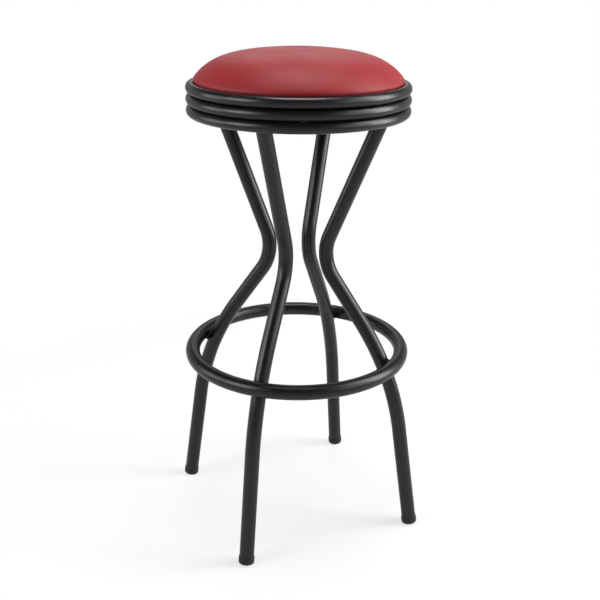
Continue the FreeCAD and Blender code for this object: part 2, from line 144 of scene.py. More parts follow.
class MeshKit:
    """Ways to make plain meshes whose place is in their vertices."""

    @staticmethod
    def piece(name: str, points: Sequence[Point], faces: Sequence[Face],
              edges: Sequence[Face] = ()) -> bpy.types.Object:
        """Make an object from points and faces, smooth shaded.

        Args:
            name: Name of the object and its mesh.
            points: Places of the vertices in metres.
            faces: Faces as vertex numbers.
            edges: Loose edges as vertex numbers.

        Returns:
            The new object, at the origin.
        """
        mesh = bpy.data.meshes.new(name)
        mesh.from_pydata([tuple(point) for point in points], list(edges), faces)
        mesh.update()
        for polygon in mesh.polygons:
            polygon.use_smooth = True
        made = bpy.data.objects.new(name, mesh)
        bpy.context.scene.collection.objects.link(made)
        return made

    @staticmethod
    def lathe(name: str, outline: Outline, sides: int, closed: bool) -> bpy.types.Object:
        """Turn an outline about the Z axis, with one vertex where it meets the axis.

        Args:
            name: Name of the object.
            outline: Radius and height of each point.
            sides: Steps round the axis.
            closed: Whether the last point joins the first.

        Returns:
            The turned object with its faces outwards.
        """
        points: list[Point] = []
        rows: list[list[int]] = []
        for radius, height in outline:
            if radius < ON_AXIS:
                rows.append([len(points)] * sides)
                points.append((0.0, 0.0, height))
                continue
            rows.append(list(range(len(points), len(points) + sides)))
            for angle in round_angles(sides):
                points.append((radius * math.cos(angle), radius * math.sin(angle), height))
        faces: list[Face] = []
        pairs = list(zip(rows, rows[1:]))
        if closed:
            pairs.append((rows[-1], rows[0]))
        for low, high in pairs:
            for step in range(sides):
                after = (step + 1) % sides
                corners = dict.fromkeys((low[step], low[after], high[after], high[step]))
                if len(corners) > 2:
                    faces.append(tuple(corners))
        made = MeshKit.piece(name, points, faces)
        MeshKit.face_outwards(made)
        return made

    @staticmethod
    def face_outwards(made: bpy.types.Object) -> None:
        """Merge doubles and turn all faces of an object outwards.

        Args:
            made: The object.
        """
        work = bmesh.new()
        work.from_mesh(made.data)
        bmesh.ops.remove_doubles(work, verts=work.verts, dist=MERGE_DISTANCE)
        bmesh.ops.recalc_face_normals(work, faces=work.faces)
        work.to_mesh(made.data)
        work.free()

    @staticmethod
    def place(made: bpy.types.Object, where: Matrix) -> None:
        """Move an object's vertices by a matrix."""
        made.data.transform(where)
        made.data.update()

    @staticmethod
    def joined(name: str, pieces: list[bpy.types.Object]) -> bpy.types.Object:
        """Join objects into the first one, which gets the name.

        Args:
            name: Name of the result.
            pieces: The objects.

        Returns:
            The first object, with the faces of all.
        """
        with bpy.context.temp_override(active_object=pieces[0], selected_editable_objects=pieces):
            bpy.ops.object.join()
        pieces[0].name = name
        return pieces[0]

    @staticmethod
    def paths(name: str, runs: list[list[Point]], closed: bool) -> bpy.types.Object:
        """Make an object of loose edges along runs of points, as a guide for a node tree.

        Args:
            name: Name of the object.
            runs: Points of each run, in order.
            closed: Whether each run's last point joins its first.

        Returns:
            The object of loose edges.
        """
        points: list[Point] = []
        edges: list[Face] = []
        for run in runs:
            first = len(points)
            points += run
            edges += [(first + step, first + step + 1) for step in range(len(run) - 1)]
            if closed:
                edges.append((len(points) - 1, first))
        return MeshKit.piece(name, points, [], edges)

    @staticmethod
    def apply_all(made: bpy.types.Object) -> None:
        """Turn an object with modifiers into a plain mesh.

        Args:
            made: The object.
        """
        graph = bpy.context.evaluated_depsgraph_get()
        result = bpy.data.meshes.new_from_object(made.evaluated_get(graph), depsgraph=graph)
        made.modifiers.clear()
        old = made.data
        result.name = made.name
        made.data = result
        bpy.data.meshes.remove(old)


class NodeKit:
    """Short calls that add and join the nodes of one tree."""

    def __init__(self, tree: bpy.types.NodeTree) -> None:
        """Work on a tree."""
        self.tree = tree

    def add(self, kind: str, settings: dict[str, object] | None = None, **inputs: object) -> bpy.types.Node:
        """Add a node.

        Args:
            kind: Blender's type name of the node.
            settings: Properties of the node.
            **inputs: Values or sockets by input name, with _ for a space.

        Returns:
            The new node.
        """
        node = self.tree.nodes.new(kind)
        for key, value in (settings or {}).items():
            setattr(node, key, value)
        for key, value in inputs.items():
            self.join(value, node.inputs[key.replace("_", " ")])
        return node

    def join(self, value: object, socket: bpy.types.NodeSocket) -> None:
        """Link a socket to a socket, or set a socket to a value.

        Args:
            value: The socket to link from, or the value.
            socket: The input that gets it.
        """
        if isinstance(value, bpy.types.NodeSocket):
            self.tree.links.new(value, socket)
        else:
            socket.default_value = value

    def add_filled(self, kind: str, operation: str | None, *values: object) -> bpy.types.NodeSocket:
        """Add a node whose inputs go by number.

        Args:
            kind: Blender's type name of the node.
            operation: What the node does, where it has a choice.
            *values: Values or sockets for the first inputs, in order.

        Returns:
            The node's first output.
        """
        node = self.add(kind, {"operation": operation} if operation else None)
        for value, socket in zip(values, node.inputs):
            self.join(value, socket)
        return node.outputs[0]


class GeometryTree(NodeKit):
    """A geometry node tree with named inputs, which ends in Realize Instances and Set Material."""

    def __init__(self, name: str) -> None:
        """Start an empty tree with a geometry input and output and a material input.

        Args:
            name: Name of the tree.
        """
        self.group = bpy.data.node_groups.new(name, "GeometryNodeTree")
        super().__init__(self.group)
        self.group.interface.new_socket("Geometry", in_out="INPUT", socket_type="NodeSocketGeometry")
        self.group.interface.new_socket("Geometry", in_out="OUTPUT", socket_type="NodeSocketGeometry")
        self.start = self.group.nodes.new("NodeGroupInput")
        self.take("Finish", "NodeSocketMaterial")

    def take(self, name: str, kind: str, default: float | int | None = None) -> bpy.types.NodeSocket:
        """Add a named input to the tree and return its socket inside the tree.

        Args:
            name: Name of the input.
            kind: Blender's type name of the socket.
            default: Its value where none is set.

        Returns:
            The socket that gives the value inside the tree.
        """
        socket = self.group.interface.new_socket(name, in_out="INPUT", socket_type=kind)
        if default is not None:
            socket.default_value = default
        return self.start.outputs[name]

    def finish(self, geometry: bpy.types.NodeSocket) -> None:
        """End the tree in plain, smooth geometry with its material.

        Args:
            geometry: The tree's result so far.
        """
        plain = self.add("GeometryNodeRealizeInstances", Geometry=geometry)
        smooth = self.add("GeometryNodeSetShadeSmooth", Geometry=plain.outputs[0])
        dressed = self.add("GeometryNodeSetMaterial", Geometry=smooth.outputs[0],
                           Material=self.start.outputs["Finish"])
        self.add("NodeGroupOutput", Geometry=dressed.outputs[0])

    def shape(self, guide: bpy.types.Object, **values: object) -> bpy.types.Object:
        """Run the tree on a guide object and turn the result into a plain mesh.

        Args:
            guide: The object whose mesh the tree starts from, which becomes the piece.
            **values: Input values by input name, with _ for a space.

        Returns:
            The guide object with its new mesh and no modifier.
        """
        modifier = guide.modifiers.new("shape", "NODES")
        modifier.node_group = self.group
        names = {item.name: item.identifier for item in self.group.interface.items_tree}
        for key, value in values.items():
            modifier[names[key.replace("_", " ")]] = value
        MeshKit.apply_all(guide)
        return guide


def tube_tree() -> GeometryTree:
    """A tree that sweeps a round tube with closed ends along the guide's edges.

    Returns:
        The tree, with inputs for the radius and the sides.
    """
    tree = GeometryTree("Round tube")
    radius = tree.take("Radius", "NodeSocketFloat", 0.01)
    sides = tree.take("Sides", "NodeSocketInt", 48)
    path = tree.add("GeometryNodeMeshToCurve", Mesh=tree.start.outputs["Geometry"])
    ring = tree.add("GeometryNodeCurvePrimitiveCircle", Radius=radius, Resolution=sides)
    tube = tree.add("GeometryNodeCurveToMesh", Curve=path.outputs[0], Profile_Curve=ring.outputs[0],
                    Fill_Caps=True)
    tree.finish(tube.outputs[0])
    return tree


def bead_tree() -> GeometryTree:
    """A tree that lays overlapping flat ripples of weld along the guide's edges.

    Returns:
        The tree, with inputs for the ripples' size, spacing, flatness, spread of sizes and seed.
    """
    tree = GeometryTree("Weld bead")
    radius = tree.take("Radius", "NodeSocketFloat", 0.002)
    spacing = tree.take("Spacing", "NodeSocketFloat", 0.001)
    flatness = tree.take("Flatness", "NodeSocketFloat", 0.6)
    smallest = tree.take("Smallest", "NodeSocketFloat", 0.9)
    largest = tree.take("Largest", "NodeSocketFloat", 1.1)
    seed = tree.take("Seed", "NodeSocketInt", 1)
    path = tree.add("GeometryNodeMeshToCurve", Mesh=tree.start.outputs["Geometry"])
    steps = tree.add("GeometryNodeResampleCurve", {"mode": "LENGTH"}, Curve=path.outputs[0], Length=spacing)
    ripple = tree.add("GeometryNodeMeshIcoSphere", Radius=radius, Subdivisions=3)
    thin = tree.add("ShaderNodeCombineXYZ", X=1.0, Y=1.0, Z=flatness)
    flat = tree.add("GeometryNodeTransform", Geometry=ripple.outputs[0], Scale=thin.outputs[0])
    along = tree.add("GeometryNodeInputTangent")
    turn = tree.add("FunctionNodeAlignRotationToVector", {"axis": "Z"}, Vector=along.outputs[0])
    size = tree.add("FunctionNodeRandomValue", {"data_type": "FLOAT"}, Seed=seed)
    # A random value's ends for plain numbers are inputs 2 and 3, and its result is output 1.
    tree.join(smallest, size.inputs[2])
    tree.join(largest, size.inputs[3])
    beads = tree.add("GeometryNodeInstanceOnPoints", Points=steps.outputs[0], Instance=flat.outputs[0],
                     Rotation=turn.outputs[0], Scale=size.outputs[1])
    tree.finish(beads.outputs[0])
    return tree


def copies_tree() -> GeometryTree:
    """A tree that puts a copy of an object on each point of the guide, turned by the point's 'turn'.

    Returns:
        The tree, with inputs for the copied object, the chance turn and its seed.
    """
    tree = GeometryTree("Copies on places")
    source = tree.take("Source", "NodeSocketObject")
    play = tree.take("Play", "NodeSocketFloat", 0.0)
    seed = tree.take("Seed", "NodeSocketInt", 1)
    shape = tree.add("GeometryNodeObjectInfo", {"transform_space": "ORIGINAL"}, Object=source)
    turn = tree.add("GeometryNodeInputNamedAttribute", {"data_type": "FLOAT"}, Name="turn")
    chance = tree.add("FunctionNodeRandomValue", {"data_type": "FLOAT"}, Seed=seed)
    tree.join(tree.add_filled("ShaderNodeMath", "MULTIPLY", play, -1.0), chance.inputs[2])
    tree.join(play, chance.inputs[3])
    total = tree.add_filled("ShaderNodeMath", "ADD", turn.outputs[0], chance.outputs[1])
    angles = tree.add("ShaderNodeCombineXYZ", X=0.0, Y=0.0, Z=total)
    rotation = tree.add("FunctionNodeEulerToRotation", Euler=angles.outputs[0])
    copies = tree.add("GeometryNodeInstanceOnPoints", Points=tree.start.outputs["Geometry"],
                      Instance=shape.outputs["Geometry"], Rotation=rotation.outputs[0])
    tree.finish(copies.outputs[0])
    return tree


@dataclass(frozen=True)
class Clouds:
    """A cloud pattern: its scale, its detail, and the values of it that count as 0 and as 1."""

    scale: float
    detail: float
    zero: float = 0.0
    one: float = 1.0


@dataclass(frozen=True)
class Relief:
    """Clouds that raise the surface, and how high they raise it in metres."""

    clouds: Clouds
    depth: float


class Shader(NodeKit):
    """A principled material with short calls for the nodes of its pattern."""

    def __init__(self, name: str, **constants: object) -> None:
        """Start a material with constant values by socket name, with _ for a space.

        Args:
            name: Name of the material.
            **constants: Constant values by socket name, with _ for a space.
        """
        self.material = bpy.data.materials.new(name)
        self.material.use_nodes = True
        super().__init__(self.material.node_tree)
        self.surface = self.tree.nodes["Principled BSDF"]
        self.place = self.add("ShaderNodeTexCoord").outputs["Object"]
        for key, value in constants.items():
            self.surface.inputs[key.replace("_", " ")].default_value = value

    def stretched(self, scale: Point) -> bpy.types.NodeSocket:
        """Object coordinates stretched by a Mapping node."""
        return self.add("ShaderNodeMapping", Vector=self.place, Scale=scale).outputs[0]

    def noise(self, clouds: Clouds, vector: bpy.types.NodeSocket | None = None) -> bpy.types.NodeSocket:
        """A cloud pattern as it comes, from 0 to 1."""
        return self.add("ShaderNodeTexNoise", Vector=vector or self.place, Scale=clouds.scale,
                        Detail=clouds.detail).outputs[0]

    def between(self, clouds: Clouds, span: Span,
                vector: bpy.types.NodeSocket | None = None) -> bpy.types.NodeSocket:
        """A cloud pattern stretched from its own 0 and 1 to the ends of a span.

        Args:
            clouds: The pattern.
            span: The result's lowest and highest value.
            vector: Coordinates of the pattern, where they are not the object's own.

        Returns:
            The stretched pattern.
        """
        return self.rescale(self.noise(clouds, vector), *span, clouds.zero, clouds.one)

    def mask(self, clouds: Clouds) -> bpy.types.NodeSocket:
        """A cloud pattern stretched to the whole range from 0 to 1."""
        return self.between(clouds, (0.0, 1.0))

    def relief(self, relief: Relief) -> tuple[bpy.types.NodeSocket, float]:
        """A bump layer of clouds."""
        return self.noise(relief.clouds), relief.depth

    def cells(self, scale: float) -> bpy.types.NodeSocket:
        """A cell pattern, by distance to the cells' edges."""
        return self.add("ShaderNodeTexVoronoi", {"feature": "DISTANCE_TO_EDGE"}, Vector=self.place,
                        Scale=scale).outputs[0]

    def rescale(self, value: bpy.types.NodeSocket, low: float, high: float,
                start: float = 0.0, end: float = 1.0) -> bpy.types.NodeSocket:
        """Map start..end of a value to low..high, clamped."""
        return self.add("ShaderNodeMapRange", Value=value, From_Min=start, From_Max=end,
                        To_Min=low, To_Max=high).outputs[0]

    def contrast(self, pattern: bpy.types.NodeSocket, start: float, end: float) -> bpy.types.NodeSocket:
        """Stretch a pattern's values from start to end to the whole range from 0 to 1."""
        return self.rescale(pattern, 0.0, 1.0, start, end)

    def mix(self, factor: bpy.types.NodeSocket, first: object, second: object) -> bpy.types.NodeSocket:
        """Blend two colours.

        Args:
            factor: 0 for the first colour to 1 for the second.
            first: A socket or a colour.
            second: A socket or a colour.

        Returns:
            The blended colour.
        """
        node = self.add("ShaderNodeMix", {"data_type": "RGBA"})
        self.join(factor, node.inputs[0])
        # A mix node's colours are inputs 6 and 7, after those for numbers and directions.
        for value, index in ((first, 6), (second, 7)):
            if not isinstance(value, bpy.types.NodeSocket):
                value = (*value, 1.0)
            self.join(value, node.inputs[index])
        return node.outputs[2]

    def maths(self, operation: str, first: object, second: object) -> bpy.types.NodeSocket:
        """Work out two values with a chosen maths operation."""
        return self.add_filled("ShaderNodeMath", operation, first, second)

    def upward(self) -> bpy.types.NodeSocket:
        """How far the surface faces up, from -1 to 1."""
        normal = self.add("ShaderNodeNewGeometry").outputs["Normal"]
        return self.add("ShaderNodeSeparateXYZ", Vector=normal).outputs["Z"]

    def height(self) -> bpy.types.NodeSocket:
        """The height above the floor in metres."""
        return self.add("ShaderNodeSeparateXYZ", Vector=self.place).outputs["Z"]

    def colour(self, value: bpy.types.NodeSocket) -> None:
        """Use a pattern as the base colour."""
        self.join(value, self.surface.inputs["Base Color"])

    def roughness(self, value: bpy.types.NodeSocket) -> None:
        """Use a pattern as the roughness."""
        self.join(value, self.surface.inputs["Roughness"])

    def bump(self, layers: list[tuple[bpy.types.NodeSocket, float]]) -> None:
        """Stack bump layers, each a pattern and its depth in metres.

        Args:
            layers: Each pattern and its depth in metres.
        """
        last = None
        for pattern, depth in layers:
            node = self.add("ShaderNodeBump", Height=pattern, Distance=depth, Strength=1.0)
            if last is not None:
                self.join(last, node.inputs["Normal"])
            last = node.outputs[0]
        self.join(last, self.surface.inputs["Normal"])


@dataclass(frozen=True)
class PowderCoat:
    """Satin black powder coat: dark, slightly uneven, with a fine orange peel."""

    name: str = "black_powder_coat"
    dark: Point = (0.0042, 0.0042, 0.0045)
    pale: Point = (0.0075, 0.0075, 0.0078)
    patches: Clouds = Clouds(45.0, 4.0, 0.35, 0.65)
    smears: Clouds = Clouds(90.0, 5.0, 0.35, 0.7)
    smear_stretch: Point = (1.0, 1.0, 0.35)
    roughness: Span = (0.27, 0.34)
    orange_peel: Relief = Relief(Clouds(240.0, 1.0), 0.000018)
    grain: Relief = Relief(Clouds(1500.0, 1.0), 0.000002)

    def build(self) -> bpy.types.Material:
        """Make the material.

        Returns:
            The material.
        """
        shader = Shader(self.name, IOR=1.5)
        shader.colour(shader.mix(shader.mask(self.patches), self.dark, self.pale))
        shader.roughness(shader.between(self.smears, self.roughness, shader.stretched(self.smear_stretch)))
        shader.bump([shader.relief(self.orange_peel), shader.relief(self.grain)])
        return shader.material


@dataclass(frozen=True)
class WeldPaint:
    """The same powder coat over a weld bead, with a painted sheen: its colour is lighter in random pools."""

    name: str = "black_powder_coat_weld"
    paint: Point = (0.005, 0.005, 0.0053)
    pooled_sheen: Point = (0.009, 0.009, 0.009)
    sheen_pools: Clouds = Clouds(300.0, 3.0)
    smears: Clouds = Clouds(400.0, 3.0)
    roughness: Span = (0.26, 0.42)
    pitting: Relief = Relief(Clouds(900.0, 3.0), 0.00008)

    def build(self) -> bpy.types.Material:
        """Make the material.

        Returns:
            The material.
        """
        shader = Shader(self.name, IOR=1.47)
        # Painted sheen: the lighter colour in the pools stands in for gloss.
        shader.colour(shader.mix(shader.noise(self.sheen_pools), self.paint, self.pooled_sheen))
        shader.roughness(shader.between(self.smears, self.roughness))
        shader.bump([shader.relief(self.pitting)])
        return shader.material


@dataclass(frozen=True)
class TipPlastic:
    """Matte black moulded plastic of the foot tips, scuffed and dusty near the floor."""

    name: str = "foot_tip_plastic"
    black: Point = (0.012, 0.012, 0.012)
    scuffed: Point = (0.045, 0.043, 0.04)
    scuff_height: float = 0.007
    scuff_depth: float = 0.00008
    specks: Clouds = Clouds(600.0, 5.0, 0.45, 0.62)
    smears: Clouds = Clouds(250.0, 3.0)
    roughness: Span = (0.45, 0.6)
    grain: Relief = Relief(Clouds(1400.0, 2.0), 0.00003)

    def build(self) -> bpy.types.Material:
        """Make the material.

        Returns:
            The material.
        """
        shader = Shader(self.name, IOR=1.47)
        low = shader.rescale(shader.height(), 1.0, 0.0, 0.0, self.scuff_height)
        scuffs = shader.maths("MULTIPLY", low, shader.mask(self.specks))
        shader.colour(shader.mix(scuffs, self.black, self.scuffed))
        shader.roughness(shader.between(self.smears, self.roughness))
        shader.bump([shader.relief(self.grain), (scuffs, self.scuff_depth)])
        return shader.material


@dataclass(frozen=True)
class ZincPlate:
    """Dull zinc plating with a faint spangle and drawn marks."""

    name: str = "zinc_plate"
    bright: Point = (0.60, 0.60, 0.58)
    warm: Point = (0.52, 0.50, 0.43)
    spangle: Clouds = Clouds(70.0, 4.0, 0.4, 0.7)
    drawn: Clouds = Clouds(300.0, 3.0, 0.3, 0.7)
    drawn_stretch: Point = (1.0, 12.0, 1.0)
    drawn_depth: float = 0.000015
    roughness: Span = (0.28, 0.46)
    grain: Relief = Relief(Clouds(900.0, 2.0), 0.00001)

    def build(self) -> bpy.types.Material:
        """Make the material.

        Returns:
            The material.
        """
        shader = Shader(self.name, Metallic=1.0)
        shader.colour(shader.mix(shader.mask(self.spangle), self.bright, self.warm))
        drawn = shader.noise(self.drawn, shader.stretched(self.drawn_stretch))
        shader.roughness(shader.rescale(drawn, *self.roughness, self.drawn.zero, self.drawn.one))
        shader.bump([(drawn, self.drawn_depth), shader.relief(self.grain)])
        return shader.material


@dataclass(frozen=True)
class BearingSteel:
    """Polished balls with a film of amber grease in places."""

    name: str = "bearing_steel"
    steel: Point = (0.66, 0.66, 0.67)
    greased: Point = (0.42, 0.33, 0.2)
    grease: Clouds = Clouds(160.0, 3.0, 0.5, 0.65)
    roughness: Span = (0.08, 0.3)
    grain: Relief = Relief(Clouds(2200.0, 2.0), 0.000003)

    def build(self) -> bpy.types.Material:
        """Make the material.

        Returns:
            The material.
        """
        shader = Shader(self.name, Metallic=1.0, Coat_Weight=0.4)
        film = shader.mask(self.grease)
        shader.colour(shader.mix(film, self.steel, self.greased))
        shader.roughness(shader.rescale(film, *self.roughness))
        shader.bump([shader.relief(self.grain)])
        return shader.material


@dataclass(frozen=True)
class Nylon:
    """Natural nylon of the ball cage, slightly cloudy."""

    name: str = "cage_nylon"
    milky: Point = (0.72, 0.69, 0.62)
    greasy: Point = (0.55, 0.47, 0.33)
    grease: Clouds = Clouds(120.0, 3.0, 0.5, 0.7)
    smears: Clouds = Clouds(300.0, 2.0)
    roughness: Span = (0.38, 0.52)
    grain: Relief = Relief(Clouds(800.0, 2.0), 0.00002)

    def build(self) -> bpy.types.Material:
        """Make the material.

        Returns:
            The material.
        """
        shader = Shader(self.name, Subsurface_Weight=0.15, Subsurface_Scale=0.002)
        shader.colour(shader.mix(shader.mask(self.grease), self.milky, self.greasy))
        shader.roughness(shader.between(self.smears, self.roughness))
        shader.bump([shader.relief(self.grain)])
        return shader.material


@dataclass(frozen=True)
class Plywood:
    """Unfinished plywood: long grain on the faces and thin plies on the edge."""

    name: str = "seat_plywood"
    pale: Point = (0.62, 0.44, 0.26)
    dark: Point = (0.40, 0.25, 0.13)
    ply_face: Point = (0.5, 0.33, 0.18)
    ply_end: Point = (0.24, 0.14, 0.07)
    ply_thickness: float = 0.0015
    grain_stretch: Point = (1.5, 24.0, 1.0)
    grain: Clouds = Clouds(14.0, 8.0, 0.35, 0.68)
    grain_depth: float = 0.0001
    fibres: Clouds = Clouds(120.0, 4.0)
    fibre_depth: float = 0.00006
    roughness: Span = (0.62, 0.82)
    edge_slope: float = 0.5
    face_slope: float = 0.8

    def build(self) -> bpy.types.Material:
        """Make the material.

        Returns:
            The material.
        """
        shader = Shader(self.name, IOR=1.45)
        along = shader.stretched(self.grain_stretch)
        grain = shader.noise(self.grain, along)
        fibres = shader.noise(self.fibres, along)
        wood = shader.mix(shader.contrast(grain, self.grain.zero, self.grain.one), self.pale, self.dark)
        plies = shader.maths("PINGPONG", shader.height(), self.ply_thickness)
        depth = shader.contrast(plies, 0.0, self.ply_thickness)
        layers = shader.mix(depth, self.ply_face, self.ply_end)
        slope = shader.maths("ABSOLUTE", shader.upward(), 0.0)
        flat = shader.contrast(slope, self.edge_slope, self.face_slope)
        shader.colour(shader.mix(flat, layers, wood))
        shader.roughness(shader.rescale(fibres, *self.roughness))
        shader.bump([(grain, self.grain_depth), (fibres, self.fibre_depth)])
        return shader.material


@dataclass(frozen=True)
class SeatFoam:
    """Pale open-cell polyurethane foam, with painted shade darkening the grooves between its cells."""

    name: str = "seat_foam_cells"
    light: Point = (0.86, 0.76, 0.52)
    groove_shade: Point = (0.66, 0.55, 0.33)
    pore_scale: float = 700.0
    pore_wall: float = 0.3
    pore_depth: float = 0.0004
    smears: Clouds = Clouds(60.0, 2.0)
    roughness: Span = (0.88, 0.98)

    def build(self) -> bpy.types.Material:
        """Make the material.

        Returns:
            The material.
        """
        shader = Shader(self.name, Sheen_Weight=0.2)
        pores = shader.cells(self.pore_scale)
        # Painted shade: the sunk edges of the cells get the darker colour.
        shader.colour(shader.mix(shader.contrast(pores, 0.0, self.pore_wall), self.groove_shade, self.light))
        shader.roughness(shader.between(self.smears, self.roughness))
        shader.bump([(pores, self.pore_depth)])
        return shader.material


@dataclass(frozen=True)
class Vinyl:
    """Red upholstery vinyl with a soft sheen, a fine grain and roughness that varies in soft patches."""

    name: str = "red_vinyl"
    deep: Point = (0.300, 0.018, 0.022)
    bright: Point = (0.342, 0.026, 0.030)
    tone: Clouds = Clouds(11.0, 4.0, 0.3, 0.7)
    wear: Clouds = Clouds(28.0, 4.0, 0.3, 0.7)
    roughness: Span = (0.43, 0.52)
    dents: Relief = Relief(Clouds(24.0, 2.0), 0.0007)
    pebble_scale: float = 900.0
    pebble_edge: float = 0.25
    pebble_depth: float = 0.00005
    grain: Relief = Relief(Clouds(1800.0, 2.0), 0.00002)

    def build(self) -> bpy.types.Material:
        """Make the material.

        Returns:
            The material.
        """
        shader = Shader(self.name, IOR=1.37)
        shader.colour(shader.mix(shader.mask(self.tone), self.deep, self.bright))
        shader.roughness(shader.between(self.wear, self.roughness))
        pebbles = shader.contrast(shader.cells(self.pebble_scale), 0.0, self.pebble_edge)
        shader.bump([shader.relief(self.dents), (pebbles, self.pebble_depth), shader.relief(self.grain)])
        return shader.material


@dataclass(frozen=True)
class StapleWire:
    """Galvanised staple wire."""

    name: str = "staple_wire"
    zinc: Point = (0.62, 0.62, 0.6)
    tarnish: Point = (0.4, 0.39, 0.36)
    spots: Clouds = Clouds(500.0, 4.0, 0.45, 0.6)
    roughness: Span = (0.25, 0.45)
    grain: Relief = Relief(Clouds(1200.0, 2.0), 0.00001)

    def build(self) -> bpy.types.Material:
        """Make the material.

        Returns:
            The material.
        """
        shader = Shader(self.name, Metallic=1.0)
        spots = shader.mask(self.spots)
        shader.colour(shader.mix(spots, self.zinc, self.tarnish))
        shader.roughness(shader.rescale(spots, *self.roughness))
        shader.bump([shader.relief(self.grain)])
        return shader.material


class Finishes:
    """All materials of the stool, each made once."""

    def __init__(self) -> None:
        """Make the materials."""
        self.coat = PowderCoat().build()
        self.weld = WeldPaint().build()
        self.tip = TipPlastic().build()
        self.plate = ZincPlate().build()
        self.fastener = ZincPlate("zinc_fastener", bright=(0.66, 0.66, 0.64), warm=(0.58, 0.56, 0.5),
                                  spangle=Clouds(220.0, 4.0, 0.4, 0.7)).build()
        self.steel = BearingSteel().build()
        self.nylon = Nylon().build()
        self.plywood = Plywood().build()
        self.foam = SeatFoam().build()
        self.vinyl = Vinyl().build()
        self.wire = StapleWire().build()


def dress(made: bpy.types.Object, finish: bpy.types.Material) -> None:
    """Give an object one material in all its slots.

    Args:
        made: The object.
        finish: Its material.
    """
    if not made.data.materials:
        made.data.materials.append(finish)
    for slot in made.material_slots:
        slot.material = finish


def keep(made: bpy.types.Object, body: Body, node: str) -> None:
    """Put a finished piece on its body.

    Args:
        made: The piece.
        body: The body that it moves with.
        node: The CAD node that the piece stands for.
    """
    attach(made, body.value)
    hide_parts(node)
    log.info("%s: %d faces on %s", made.name, len(made.data.polygons), body.value)


def ring_sizes(node: str) -> tuple[float, float, float]:
    """Centreline radius, tube radius and height of a CAD ring.

    Args:
        node: The ring's CAD node.

    Returns:
        The three sizes in metres.
    """
    low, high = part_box(node)
    tube = (high[2] - low[2]) / 2
    return (high[0] - low[0]) / 2 - tube, tube, (high[2] + low[2]) / 2


@dataclass(frozen=True)
class Bead:
    """One kind of weld bead: its size, the gap and the flatness of its ripples, and their seed."""

    radius: float
    spacing: float
    flatness: float
    seed: int


@dataclass
class Stock:
    """The shared finishes and node trees."""

    finishes: Finishes = field(default_factory=Finishes)
    tube: GeometryTree = field(default_factory=tube_tree)
    bead: GeometryTree = field(default_factory=bead_tree)
    copies: GeometryTree = field(default_factory=copies_tree)

    def copied(self, source: bpy.types.Object, places: list[Point], turns: Sequence[float],
               finish: bpy.types.Material, play: float = 0.0) -> bpy.types.Object:
        """Put a copy of a piece on each place and drop the piece itself.

        Args:
            source: The piece at the origin, whose name the result takes.
            places: Where the copies go.
            turns: Each copy's turn about the upright axis, in radians.
            finish: Material of the copies.
            play: Largest chance turn either way, in radians.

        Returns:
            One plain mesh of all copies.
        """
        name = source.name
        source.name = name + "_one"
        guide = MeshKit.piece(name, places, [])
        turn = guide.data.attributes.new("turn", "FLOAT", "POINT")
        turn.data.foreach_set("value", turns)
        made = self.copies.shape(guide, Source=source, Finish=finish, Play=play)
        bpy.data.objects.remove(source)
        return made

    def welded(self, name: str, runs: list[list[Point]], closed: bool, bead: Bead) -> bpy.types.Object:
        """Lay a weld bead along each run of points."""
        return self.bead.shape(MeshKit.paths(name, runs, closed), Radius=bead.radius, Spacing=bead.spacing,
                               Flatness=bead.flatness, Seed=bead.seed, Finish=self.finishes.weld)

    def ring(self, name: str, node: str, body: Body, sides: int) -> None:
        """Sweep a closed ring of round tube where a CAD ring is.

        Args:
            name: Name of the piece.
            node: The ring's CAD node.
            body: The body that it moves with.
            sides: Sides of the tube's section.
        """
        radius, tube, height = ring_sizes(node)
        turns = round_angles(RING_STEPS)
        run = [(radius * math.cos(turn), radius * math.sin(turn), height) for turn in turns]
        guide = MeshKit.paths(name, [run], True)
        made = self.tube.shape(guide, Radius=tube, Sides=sides, Finish=self.finishes.coat)
        keep(made, body, node)


def arc_points(centre: Vector, start: Vector, end: Vector, steps: int) -> list[Vector]:
    """Points on an arc about a centre from one point to another.

    Args:
        centre: The arc's centre.
        start: Its first point.
        end: Its last point.
        steps: How many steps it has.

    Returns:
        The points, with both ends.
    """
    first = start - centre
    last = end - centre
    turn = first.rotation_difference(last)
    axis, angle = turn.to_axis_angle()
    return [centre + Matrix.Rotation(angle * step / steps, 3, axis) @ first for step in range(steps + 1)]


